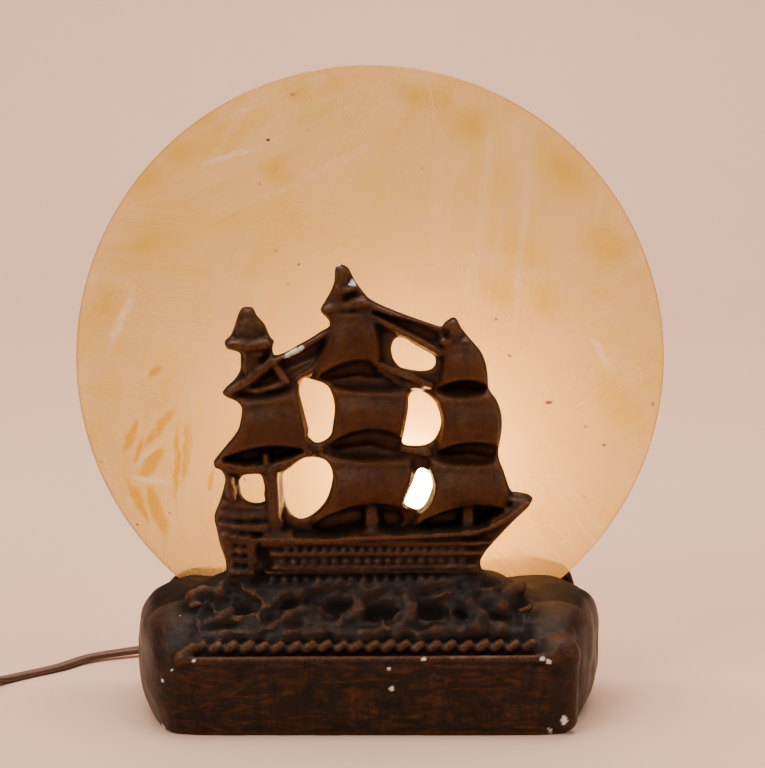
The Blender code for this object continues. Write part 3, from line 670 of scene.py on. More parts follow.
# ---------------------------------------------------------------- in-line switch

def capsule(long, wide, z):
    """One ring of points round a long shape with round ends."""
    points = []
    steps = 14
    r = wide / 2
    for end in (1, -1):
        for k in range(steps + 1):
            a = math.pi * (k / steps - end / 2)
            points.append((end * (long / 2 - r) + r * math.cos(a), r * math.sin(a), z))
    return points


def switch():
    """The two half shells, the thumbwheel and the screw of the switch on the cord."""
    turn = Matrix.Rotation(math.radians(SWITCH_TURN), 4, "Z")
    place = Matrix.Translation(Vector((SWITCH_X, SWITCH_Y, 0)) * MM) @ turn
    wheel_at = place @ (Vector((WHEEL_ALONG, WHEEL_ACROSS, 0)) * MM)
    bore = place @ (Vector((SCREW_ALONG, 0, 0)) * MM) / MM
    middle = SWITCH_HIGH / 2
    done = {}
    curve = [(0.02, 2.6), (0.25, 1.5), (0.9, 0.6), (2.0, 0.12), (3.2, 0.0)]
    shells = (
        ("shell_lower", [(z, less) for z, less in curve] + [(middle - 0.15, 0)]),
        ("shell_upper", [(middle + 0.15, 0)] + [(SWITCH_HIGH - z, less) for z, less in curve[::-1]]))
    for name, levels in shells:
        bm = loft([capsule(SWITCH_LONG - 2 * less, SWITCH_WIDE - 2 * less, z) for z, less in levels])
        bm.transform(place)
        shell = add(name, bm, PHENOLIC)
        cut(shell, turned("pit", [(7.6, middle - 2.9), (7.6, middle + 2.9)], PHENOLIC, wheel_at / MM, 48))
        cut(shell, turned("bore", [(1.9, -2), (1.9, 20)], PHENOLIC, bore, 24))
        low, high = (-2, 2.7) if name == "shell_lower" else (SWITCH_HIGH - 2.4, 20)
        cut(shell, turned("head", [(3.6, low), (3.6, high)], PHENOLIC, bore, 32))
        done[name] = shell
    for k in range(5):
        groove = bar(12.2 + 0.9 * k, 12.5 + 0.9 * k, -9, 9, SWITCH_HIGH - 0.35, 20)
        groove.transform(place)
        cut(done["shell_upper"], add("groove", groove, PHENOLIC))
    rings = []
    for z, less in ((-2.5, 0.7), (-2.2, 0.2), (-1.8, 0), (1.8, 0), (2.2, 0.2), (2.5, 0.7)):
        ring = []
        for k in range(144):
            a = 2 * math.pi * k / 144
            r = 6.9 + 0.28 * math.cos(a * 36) - less
            ring.append((r * math.cos(a), r * math.sin(a), middle + z))
        rings.append(ring)
    bm = loft(rings)
    bm.transform(Matrix.Translation(wheel_at))
    done["wheel"] = add("thumbwheel", bm, PHENOLIC, 30.0)
    top = SWITCH_HIGH
    screw = turned("switch_screw_head", [(0.2, 2.2), (1.5, 2.3), (1.5, top - 2.1), (3.1, top - 2.05),
                                         (3.2, top - 1.8), (3.15, top - 1.2), (2.5, top - 0.6),
                                         (1.2, top - 0.35), (0.2, top - 0.3)], SCREW_STEEL, bore, 32)
    slot = bar(-4, 4, -0.4, 0.4, top - 1.1, top + 2)
    slot.transform(Matrix.Translation(Vector(bore) * MM) @ Matrix.Rotation(0.6, 4, "Z"))
    cut(screw, add("slot", slot, SCREW_STEEL))
    done["screw"] = screw
    return done


switch_bits = switch()


# ---------------------------------------------------------------- plug

def plug():
    """The plug's moulded body, with its grips and the slots for the blades."""
    body = []
    for along, wide, high, power in ((0, 6.4, 4.4, 0.9), (0.6, 7.4, 5.4, 0.8), (3.5, 8.2, 6.4, 0.75),
                                     (8, 10.5, 8.2, 0.7), (10.5, 14.5, 9.6, 0.6), (13.5, 20.5, 10.6, 0.5),
                                     (16, 22.6, 10.8, 0.45), (22.6, 23.8, 10.8, 0.42),
                                     (23.5, 23.6, 10.5, 0.42), (24, 22.6, 9.8, 0.42)):
        ring = []
        for k in range(48):
            a = 2 * math.pi * k / 48
            c, s = math.cos(a), math.sin(a)
            ring.append((along, math.copysign(abs(c) ** power, c) * wide / 2,
                         math.copysign(abs(s) ** power, s) * high / 2))
        body.append(ring)
    shell = add("plug_moulding", loft(body), PLUG_BROWN, 50.0)
    for x in (14.5, 16.3, 18.1, 19.9):
        for side in (-1, 1):
            rib = bar(x, x + 0.7, side * 10.9, side * 13, -3.2, 3.2)
            cut(shell, add("rib", rib, PLUG_BROWN))
    for y in (-6.35, 6.35):
        slot = bar(18, 40, y - 1.0, y + 1.0, -3.45, 3.45)
        cut(shell, add("slot", slot, PLUG_BROWN))
    return shell


plug_piece = plug()


def plug_place():
    """Where the plug lies at the end of the cord's tail."""
    a = math.radians(PLUG_TURN)
    spot = Vector((COIL_X + TAIL_R * math.cos(a), COIL_Y + TAIL_R * math.sin(a), PLUG_Z))
    spot += Vector((math.sin(a), -math.cos(a), 0)) * 3.3
    return Matrix.Translation(spot * MM) @ Matrix.Rotation(a - math.pi / 2, 4, "Z")


plug_piece.data.transform(plug_place())


# ---------------------------------------------------------------- ship outlines, in the ship's own frame

SHIP_EDGE = [
    (-59, 50), (-59, 60.5), (-59.5, 64.5), (-61.5, 69.5), (-63, 77), (-64, 81), (-63.5, 83.5),
    (-61.5, 88), (-59.5, 95), (-59, 98), (-61, 101.5), (-63.5, 102), (-64, 104), (-63.5, 105.5),
    (-59, 111), (-56, 114.5), (-53.5, 118), (-52.5, 122.5), (-52, 126.5), (-53, 128.5), (-55, 130),
    (-58, 131), (-60.5, 133), (-58, 136), (-55, 138.5), (-52.5, 142.5), (-52.5, 147), (-52.5, 149.5),
    (-55.5, 150.5), (-58, 151), (-59, 153), (-59, 154.5), (-56.5, 156.5), (-55, 160), (-53.5, 165),
    (-52, 168), (-49.5, 168.5), (-47, 168), (-46, 165), (-42.5, 161.5), (-41, 157.5), (-40, 155.5),
    (-38.5, 154.5), (-39.5, 152), (-39, 148), (-33.5, 150), (-29.5, 152.5), (-24, 155.5), (-19.5, 158.5),
    (-16.5, 160), (-16, 161.5), (-16.5, 163), (-19.5, 166), (-20, 167.5), (-17.5, 171.5), (-15, 176),
    (-14, 179.5), (-14, 184), (-12.5, 186), (-10.5, 185.5), (-8.5, 184.5), (-7, 181.5), (-5.5, 178.5),
    (-3.5, 176), (-0.5, 172), (4, 169.5), (12.5, 166), (20, 163.3), (29.5, 160), (30, 161), (31, 162.5),
    (34.5, 164.5), (36, 163), (37, 160.5), (40.5, 156), (45.5, 150.5), (47.5, 146), (48.5, 140.5),
    (48.5, 136), (49.5, 133.5), (52, 130.5), (54, 125.5), (54.5, 120), (54, 115.5), (53, 110.5),
    (53, 106), (55.5, 100), (57, 95), (58.5, 92), (60, 92), (65.5, 91), (67.5, 89.5), (66, 86),
    (61, 81.5), (57.5, 78), (52, 72), (48, 67.5), (45.5, 63), (46.5, 59), (48, 50)]

OPENINGS = [
    [(-26, 139.5), (-23.5, 138.5), (-19.5, 137.5), (-16.5, 135.5), (-15, 132), (-14, 127), (-15, 119.5),
     (-15.5, 116), (-18, 113.5), (-22, 112), (-25.5, 115.5), (-24.5, 117), (-26, 123), (-27.5, 129),
     (-28.5, 132.5), (-28.5, 136), (-27.5, 138.5)],
    [(9, 152), (10, 155), (12.5, 156), (15.5, 155), (18, 153), (22.5, 150.5), (27, 148), (27, 144.5),
     (25, 142.5), (21.5, 142), (17, 142.5), (12.5, 143.5), (10, 146.5), (9, 150)],
    [(16, 131.5), (17.5, 133.5), (20, 134.5), (23.5, 132.5), (27, 129.5), (28.5, 125.5), (29.5, 121),
     (28.5, 117.5), (26.5, 113.5), (23, 111.5), (19, 111), (14.5, 111.5), (13.5, 112.5), (14, 115.5),
     (15, 120.5), (16, 126.5)],
    [(20.5, 102), (23, 101.5), (25, 99.5), (26, 95), (25, 91.5), (23, 87), (20.5, 84.5), (18, 85),
     (14, 87), (16.5, 93), (18, 96), (19, 99.5)],
    [(-35.5, 100), (-32.5, 102), (-29.5, 104.5), (-26, 106.5), (-22, 106.5), (-18, 105.5), (-15.5, 102),
     (-15, 98), (-16, 93), (-18, 88), (-21.5, 84), (-25, 81.5), (-28.5, 80.5), (-31.5, 82), (-33.5, 85),
     (-35, 90), (-35.5, 95)],
    [(-53.5, 96.5), (-52, 99), (-48, 99.5), (-44.5, 99.5), (-43.5, 96.5), (-43, 93.5), (-43.5, 90.5),
     (-42.5, 88), (-46.5, 87), (-50.5, 88), (-52.5, 90.5), (-53, 93.5)]]

# each sail: head left, head right, foot left, foot right, how far the foot arches up, how far it swells
SAILS = [
    ((-56, 132.5), (-29, 135), (-62, 105), (-24, 109), 4.5, 7.0),
    ((-17.5, 169.5), (1, 168.5), (-21.5, 139), (4.5, 145), 4.5, 6.5),
    ((-20.5, 138), (16, 135.5), (-17.5, 111), (13.5, 114.5), 6.0, 8.6),
    ((-21.5, 109.5), (17.5, 107.5), (-23.5, 78), (15, 84.5), 6.5, 9.2),
    ((29, 156), (42, 155.5), (27.5, 135), (49, 136), 3.2, 6.0),
    ((26, 134), (51, 135), (27.5, 109), (54, 111), 3.2, 7.8),
    ((24.5, 107), (54, 106), (18.5, 77.5), (57, 84.5), 6.0, 8.2)]


# the deck's edge along the hull: x, and the height there
DECK_LINE = ([-64, -59.4, -47, -31.3, -8.3, 12, 42.7, 52, 58, 67.5],
             [78.5, 75.2, 73.6, 73.1, 73.8, 74.8, 76.6, 79.5, 83.2, 91])


# ---------------------------------------------------------------- distance helpers

def rounded_line(points):
    """More points, so that a listed closed outline reads as a smooth curve."""
    for _ in range(2):
        fuller = []
        count = len(points)
        for i in range(count):
            (ax, az), (bx, bz) = points[i], points[(i + 1) % count]
            fuller.append((0.8 * ax + 0.2 * bx, 0.8 * az + 0.2 * bz))
            fuller.append((0.2 * ax + 0.8 * bx, 0.2 * az + 0.8 * bz))
        points = fuller
    return points


def to_outline(points, u, v):
    """Distance from grid points to a closed outline, negative inside."""
    closed = points + points[:1]
    inside = np.zeros(u.shape, bool)
    for (ax, ay), (bx, by) in zip(closed, closed[1:]):
        if ay != by:
            crosses = (ay <= v) != (by <= v)
            inside ^= crosses & (u - ax < (v - ay) * (bx - ax) / (by - ay))
    return np.where(inside, -1, 1) * to_line(closed, u, v)


def to_line(points, u, v):
    """Distance from grid points to an open line."""
    best = np.full(u.shape, 1e9, np.float32)
    for (ax, ay), (bx, by) in zip(points, points[1:]):
        ex, ey = bx - ax, by - ay
        wx, wy = u - ax, v - ay
        t = np.clip((wx * ex + wy * ey) / (ex * ex + ey * ey + 1e-12), 0, 1)
        best = np.minimum(best, (wx - ex * t) ** 2 + (wy - ey * t) ** 2)
    return np.sqrt(best)


def both(a, b, k):
    """Smooth greater of two fields."""
    h = np.clip(0.5 + 0.5 * (a - b) / k, 0, 1)
    return b * (1 - h) + a * h + k * h * (1 - h)


def either(a, b, k):
    """Smooth lesser of two fields."""
    return -both(-a, -b, k)


def ease(x, low, high):
    """Goes smoothly from 0 at low to 1 at high."""
    t = np.clip((x - low) / (high - low), 0, 1)
    return t * t * (3 - 2 * t)


def lumps(seed, u, v, size):
    """Smooth value noise from -1 to 1 on a plane of points."""
    rng = np.random.default_rng(seed)
    table = rng.uniform(-1, 1, (256, 256)).astype(np.float32)
    a, b = u / size + 100, v / size + 100
    i, j = np.floor(a).astype(int), np.floor(b).astype(int)
    fa, fb = a - i, b - j
    fa, fb = fa * fa * (3 - 2 * fa), fb * fb * (3 - 2 * fb)
    i, j = i % 255, j % 255
    low = table[i, j] * (1 - fa) + table[i + 1, j] * fa
    high = table[i, j + 1] * (1 - fa) + table[i + 1, j + 1] * fa
    return low * (1 - fb) + high * fb


def blur(field, radius, axes):
    """A box blur along some axes, done twice."""
    for _ in range(2):
        for axis in axes:
            pad = [(0, 0)] * field.ndim
            pad[axis] = (radius + 1, radius)
            total = np.cumsum(np.pad(field, pad, mode="edge"), axis=axis, dtype=np.float64)
            size = 2 * radius + 1
            low = [slice(None)] * field.ndim
            high = [slice(None)] * field.ndim
            low[axis] = slice(0, field.shape[axis])
            high[axis] = slice(size, size + field.shape[axis])
            field = ((total[tuple(high)] - total[tuple(low)]) / size).astype(np.float32)
    return field


# ---------------------------------------------------------------- ship relief

def ship_relief(u, w):
    """How far the ship's side stands in front of its middle plane at each point, and a mask for the paint."""
    front = np.full(u.shape, 2.0, np.float32)
    front += 0.5 * lumps(3, u, w, 9)
    sail_mask = np.zeros(u.shape, np.float32)

    def ridge(points, radius, top, soft=0.7):
        nonlocal front
        d = to_line(points, u, w)
        rise = top - radius + np.sqrt(np.clip(radius * radius - d * d, 0, None))
        rise = np.where(d < radius, rise, -20.0)
        front = np.where(d < radius, both(front, rise, soft), front)

    def dent(points, radius, depth):
        nonlocal front
        d = to_line(points, u, w)
        front = front - depth * (1 - ease(d, radius * 0.4, radius))

    # recesses below the arched feet of the sails, and between the stays
    for points, radius, depth in (
            ([(-60, 106), (-43, 108.5), (-27, 107.5)], 4.0, 2.4),
            ([(-18, 141), (-5, 143), (4, 142)], 3.5, 2.2), ([(-14, 113), (0, 115), (12, 112)], 4.0, 2.4),
            ([(-20, 79), (-4, 82), (10, 81)], 5.0, 3.4),
            ([(30, 136), (39, 136.8), (46, 135.5)], 2.8, 2.0),
            ([(30, 109.5), (40, 110.5), (50, 109)], 3.0, 2.4), ([(25, 80), (38, 82), (52, 81)], 4.6, 3.4),
            ([(2, 167), (12, 162.5), (26, 156)], 3.2, 2.2),
            ([(-34, 146), (-24, 150), (-18, 153)], 3.4, 2.0), ([(-49, 139), (-41, 143)], 3.5, 1.8),
            ([(-50, 86), (-44, 85)], 2.6, 1.4)):
        dent(points, radius, depth)

    # stays and spars
    for points, radius, top in (
            ([(-7, 171.5), (8, 166.5), (34, 160)], 1.7, 4.6),
            ([(-5, 168), (11, 159.5), (29, 150)], 1.7, 5.0),
            ([(2, 146), (12, 141.5), (25, 136.5)], 1.7, 4.8),
            ([(4, 143), (13, 137), (21, 135.5)], 1.3, 3.8),
            ([(-37, 147.8), (-28, 151.8), (-17, 158.5)], 1.6, 4.4),
            ([(-29, 139), (-22, 143.5), (-17, 151)], 1.6, 4.4), ([(-27, 113), (-20, 110.5)], 2.0, 4.0),
            ([(14, 110.5), (24, 108.5)], 2.0, 4.2), ([(-60, 133), (-50, 138), (-39, 147)], 2.4, 6.4),
            ([(-40, 147), (-34, 138.5)], 2.0, 5.2), ([(-56, 136), (-45, 134), (-36, 137)], 1.6, 4.6),
            ([(-19, 167.5), (-10, 169), (-1, 170.5)], 2.3, 6.2),
            ([(-13, 170), (-12, 178), (-11.5, 184)], 3.4, 5.2),
            ([(-14.5, 176.5), (-10, 175), (-6, 176.5)], 1.5, 6.0), ([(34, 162.5), (35, 156)], 3.0, 5.4),
            ([(30, 154.5), (36, 153.5), (42, 155)], 1.6, 5.6)):
        ridge(points, radius, top)
    # mizzen top: a cone standing on a round brim, and its neck
    ridge([(-49.5, 167), (-49.3, 161)], 3.2, 4.6)
    ridge([(-49, 160), (-49, 155.5)], 6.0, 6.2, 1.2)
    ridge([(-57.5, 153.5), (-49, 152.6), (-40.5, 154)], 2.5, 8.2)
    ridge([(-47.3, 150), (-47.6, 143)], 3.8, 5.6)
    ridge([(-50, 149.5), (-44, 149.5)], 1.3, 6.4)

    # sails
    for (hlx, hlz), (hrx, hrz), (flx, flz), (frx, frz), arch, swell in SAILS:
        mid_head, mid_foot = (hlz + hrz) / 2, (flz + frz) / 2
        down = np.clip((mid_head - w) / (mid_head - mid_foot), -0.3, 1.3)
        waist = 1.6 * np.sin(np.pi * np.clip(down, 0, 1))
        left = hlx + (flx - hlx) * down + waist
        right = hrx + (frx - hrx) * down + waist
        t = (u - left) / (right - left)
        bow = 1 - (2 * np.clip(t, 0, 1) - 1) ** 2
        head = hlz + (hrz - hlz) * t - 1.2 * bow
        foot = flz + (frz - flz) * t + arch * bow
        v = (head - w) / (head - foot)
        vc = np.clip(v, 0, 1)
        belly = 0.16 + 0.84 * np.sin(np.pi * np.clip(0.06 + 0.70 * vc, 0, 1)) ** 1.25
        crease = np.exp(-((vc - 0.12) / 0.07) ** 2) * 0.12
        hem = np.exp(-((1 - vc) * (head - foot) / 0.9) ** 2) * 0.45
        across = 0.34 + 0.66 * np.clip(bow, 0, 1) ** 0.7 + 0.10 * (t - 0.5)
        rise = 2.6 + swell * (belly + crease) * across + hem
        rise = rise + 0.30 * lumps(11, u, w, 6.5) * bow + 0.10 * lumps(12, u, w, 2.1)
        width = right - left
        edge = np.minimum(np.minimum(t, 1 - t) * width, np.minimum(v, 10) * (head - foot))
        share = ease(edge, -0.8, 1.4) * ease((1 - v) * (head - foot), -0.35, 0.35)
        front = front * (1 - share) + np.maximum(front, rise) * share
        sail_mask = np.maximum(sail_mask, share)

    # the lower spar of the mizzen, and the masts below the sails
    ridge([(-62, 103.6), (-52, 101.6), (-42, 102), (-31, 105), (-25, 108)], 2.7, 6.4)
    ridge([(-42.5, 108), (-42, 105)], 1.6, 6.6)
    ridge([(-39.6, 101), (-39.3, 84), (-38.6, 78)], 3.3, 7.2)
    ridge([(-42, 74.6), (-33, 74.4)], 2.6, 8.2, 1.5)
    ridge([(0.8, 87), (1.2, 76)], 3.1, 6.4)
    ridge([(-7, 74.4), (1, 76), (9, 74.6)], 2.0, 7.8, 1.5)
    ridge([(40.3, 87), (40.6, 78)], 2.9, 6.0)
    ridge([(-57.5, 98), (-56.5, 90)], 2.0, 5.0)

    # hull
    deck = np.interp(u, *DECK_LINE).astype(np.float32)
    depth = np.clip((deck - w) / (deck - 53.0), 0, 1)
    belly = 7.6 + 2.6 * np.sin(np.pi * np.clip(depth * 0.8 + 0.1, 0, 1))
    belly -= 0.13 * np.clip(u - 36, 0, None) ** 1.15
    belly += 0.18 * lumps(17, u, w, 3.0)
    belly -= 1.1 * ease(deck - w, 1.0, 2.2)
    share = ease(deck - w, -0.5, 0.9)
    front = front * (1 - share) + np.maximum(belly, 0) * share
    ridge([(x, float(np.interp(x, *DECK_LINE))) for x in range(-60, 67, 6)], 1.5, 10.2)
    ridge([(50, 80.5), (57, 85.0), (66, 90.3)], 1.5, 7.6)
    ridge([(55, 90.5), (59, 89.0), (66, 90)], 1.3, 6.0)
    # stern: panel with carved lights, bands of the poop above it
    inside = to_outline([(-60.5, 74.4), (-46.8, 72.4), (-47.2, 58.6), (-57.8, 58.6)], u, w)
    front = np.where(inside < 1, both(front, 10.9 - 0.8 * ease(inside, -1.2, 0.6), 0.6), front)
    for x, z in ((-54.6, 71.2), (-51.2, 71.0), (-54.6, 67.2), (-51.2, 67.0), (-54.3, 63.2), (-51.0, 63.0)):
        dent([(x - 0.5, z), (x + 0.5, z)], 1.5, 1.3)
    ridge([(-58, 60.4), (-48, 60.2)], 1.2, 11.6)
    ridge([(-55, 58.0), (-50, 57.6)], 2.0, 11.0)
    for z, top in ((87.2, 5.2), (83.2, 6.4), (78.6, 8.2)):
        ridge([(-62.5 + (z < 85), z), (-50, z - 0.9), (-43.0, z - 0.4)], 2.3, top, 1.6)
    dent([(-44, 69), (-41, 62), (-44, 56)], 3.0, 1.6)
    # planks, wale and the rows of ports
    for z, top, low, high in ((71.4, 9.7, -44, 50), (67.4, 10.2, -40, 48), (62.0, 10.9, -40, 45),
                              (60.0, 10.7, -42, 44),
                              (55.2, 10.9, -44, 45)):
        ridge([(low, z), (0, z + 0.3), (high, z + 0.8)], 0.85, top, 0.2)
    for row, (z, pitch, low, high, radius, top) in enumerate((
            (64.7, 4.4, -36, 42, 1.35, 10.6), (57.6, 4.7, -40, 34, 1.4, 11.0),
            (69.4, 3.6, -34, 40, 1.0, 10.05))):
        x = low
        while x < high:
            out = top - 0.03 * max(0, x - 20) - 0.25 * math.sin(x * 0.9) ** 2
            ridge([(x, z + 0.008 * x), (x + 0.5, z + 0.008 * x)], radius, out, 0.2)
            x += pitch + 0.3 * math.sin(x * 1.7 + row)
    for axis in (0, 1):
        front = 0.5 * front + 0.25 * (np.roll(front, 1, axis) + np.roll(front, -1, axis))
    front += 0.12 * lumps(23, u, w, 2.2) + 0.07 * lumps(24, u, w, 1.1)
    return front, sail_mask


# ---------------------------------------------------------------- plinth

PLAN = [(-76, -54), (-82, -51.5), (-86.5, -46), (-91, -35), (-95, -20), (-97, -4), (-96.8, 18), (-94, 38),
        (-88, 49), (-74, 54), (74, 54), (88, 49), (93.5, 39), (96.6, 22), (97, 4), (95, -12), (91, -25),
        (86.6, -33.5), (84.2, -38), (83.8, -42), (83.0, -47), (79.5, -51.8), (73, -54)]

# crests and foam lines on the sloping front, as (x, height); a size; how far it stands out
CRESTS = [
    ([(-71, 51), (-72, 53), (-68, 54.5), (-61, 54), (-60, 57)], 1.3, 1.0),
    ([(-50, 55.5), (-47, 54), (-36, 53.5), (-28, 54), (-21, 56), (-13, 57), (-2, 56.5)], 1.5, 1.3),
    ([(0, 54), (4, 55.5), (14, 56), (23, 56.5), (33, 57.5), (38, 59), (44, 60.5)], 1.5, 1.3),
    ([(-68, 41.5), (-60, 45), (-56, 47.5)], 1.4, 1.1),
    ([(-68, 37.5), (-59, 38.5), (-50, 40)], 1.5, 1.3),
    ([(-47, 38.5), (-39, 41.5), (-32, 45), (-27, 47.5), (-21, 47.5)], 1.6, 1.5),
    ([(-40, 37.3), (-33, 39), (-26, 39.8)], 1.6, 1.5),
    ([(-21, 42), (-12, 42.5), (-7, 45), (-4, 48.5), (-5, 53)], 1.6, 1.5),
    ([(-24, 38.5), (-20, 39.5)], 1.5, 1.3),
    ([(-42, 48.5), (-38, 50.5), (-34, 53)], 1.2, 1.0),
    ([(-12, 38.6), (-3, 38.8), (8, 40.5)], 1.6, 1.5),
    ([(11, 39), (13, 42), (16, 45), (16.5, 49), (15, 52), (18, 55)], 1.9, 1.8),
    ([(20, 38.6), (27, 40.3), (33, 41)], 1.7, 1.7),
    ([(34, 44), (38, 40.5), (43, 41.5), (45, 46), (41, 50), (40, 55)], 2.0, 1.9),
    ([(33, 53), (38, 51.5), (42, 55)], 1.5, 1.2),
    ([(48, 42.5), (53, 41), (61, 39.5)], 1.7, 1.6),
    ([(46, 51), (50, 52), (54, 49), (56, 54), (62, 57)], 1.6, 1.4)]

# hollows between them: middle, half width, half height, depth
HOLLOWS = [(-33, 50, 7, 3.4, 1.7), (-13, 50, 6.5, 4.6, 2.4), (3, 48, 8, 5.5, 2.8),
           (25, 48.5, 7.5, 5.5, 3.0), (-52, 49, 6, 4, 1.6), (-58, 42, 7, 2.2, 1.0), (37, 47, 3, 4.5, 2.0),
           (52, 45.5, 4.5, 3, 1.4), (-33, 42.5, 5, 2, 1.2), (49, 58, 4, 2.2, 1.4)]

# white chips: where, and how big
CHIPS = [(78.5, -53, 6.5, 1.6), (73, -54, 1.8, 1.5), (72, -54, 30.6, 1.2), (69.5, -54, 32, 1.0),
         (22, -54, 31.8, 0.9), (9, -54, 19.6, 1.0), (-79, -53, 27, 0.8), (-83, -50, 22, 0.8),
         (-77, -36, 46, 0.9), (-83, -51, 1.6, 2.0), (-77, -54, 0.8, 1.6), (81, -44, 23, 0.8),
         (8, -54, 28, 0.7), (-33.0, -23, 150.2, 1.6), (-31.2, -23, 151.2, 1.7), (-29.4, -23, 152.2, 1.6),
         (-27.8, -23, 153.1, 1.3), (-6.9, -22, 179.8, 1.7), (66.8, -22, 89.4, 1.2), (-83, -42, 0.6, 1.8),
         (-12.5, -21, 187.3, 1.0), (-70, -54, 31, 0.7)]

# where the ship's part of the grid starts
SHIP_LEFT = -70.0
SHIP_LOW = 49.0


def slope_depth(z):
    """How far back the sloping front lies at a height."""
    return np.interp(z, [31, 36, 45, 57, 62], [-51, -46.5, -39, -30, -27])


def base_top(x, y):
    """The height of the plinth's top over each point of its plan."""
    centre = np.interp(y, [-54, -52, -49.5, -47.5, -45, -39, -30, -26, -14, -9, -4, 37, 54],
                       [29.5, 31.2, 31.8, 34.2, 36.8, 45.5, 57.0, 60, 60, 52, 46.5, 45.5, 45.5])
    end = np.interp(y, [-56, -52, -46, -38, -29, -20, -12, -4, 4, 14, 26, 37, 54],
                    [22, 30.5, 38, 43.5, 47.3, 49.8, 51.4, 52.4, 52.6, 51.2, 48.6, 47.0, 47.0])
    end = end + 0.9 * lumps(32, x, y, 14) + 0.4 * lumps(33, x, y, 6) - 7.0 * ease(np.abs(x), 76, 99)
    share = 1 - ease(np.abs(x + 4), 52, 76)
    z = centre * share + end * (1 - share)
    # the lip behind the slot, higher at the right
    lip = 1.2 + 4.4 * ease(x, 30, 60) - 0.6 * ease(-x, 20, 70) + 0.6 * lumps(31, x, y, 11)
    return z + ease(y, 40, 42) * lip


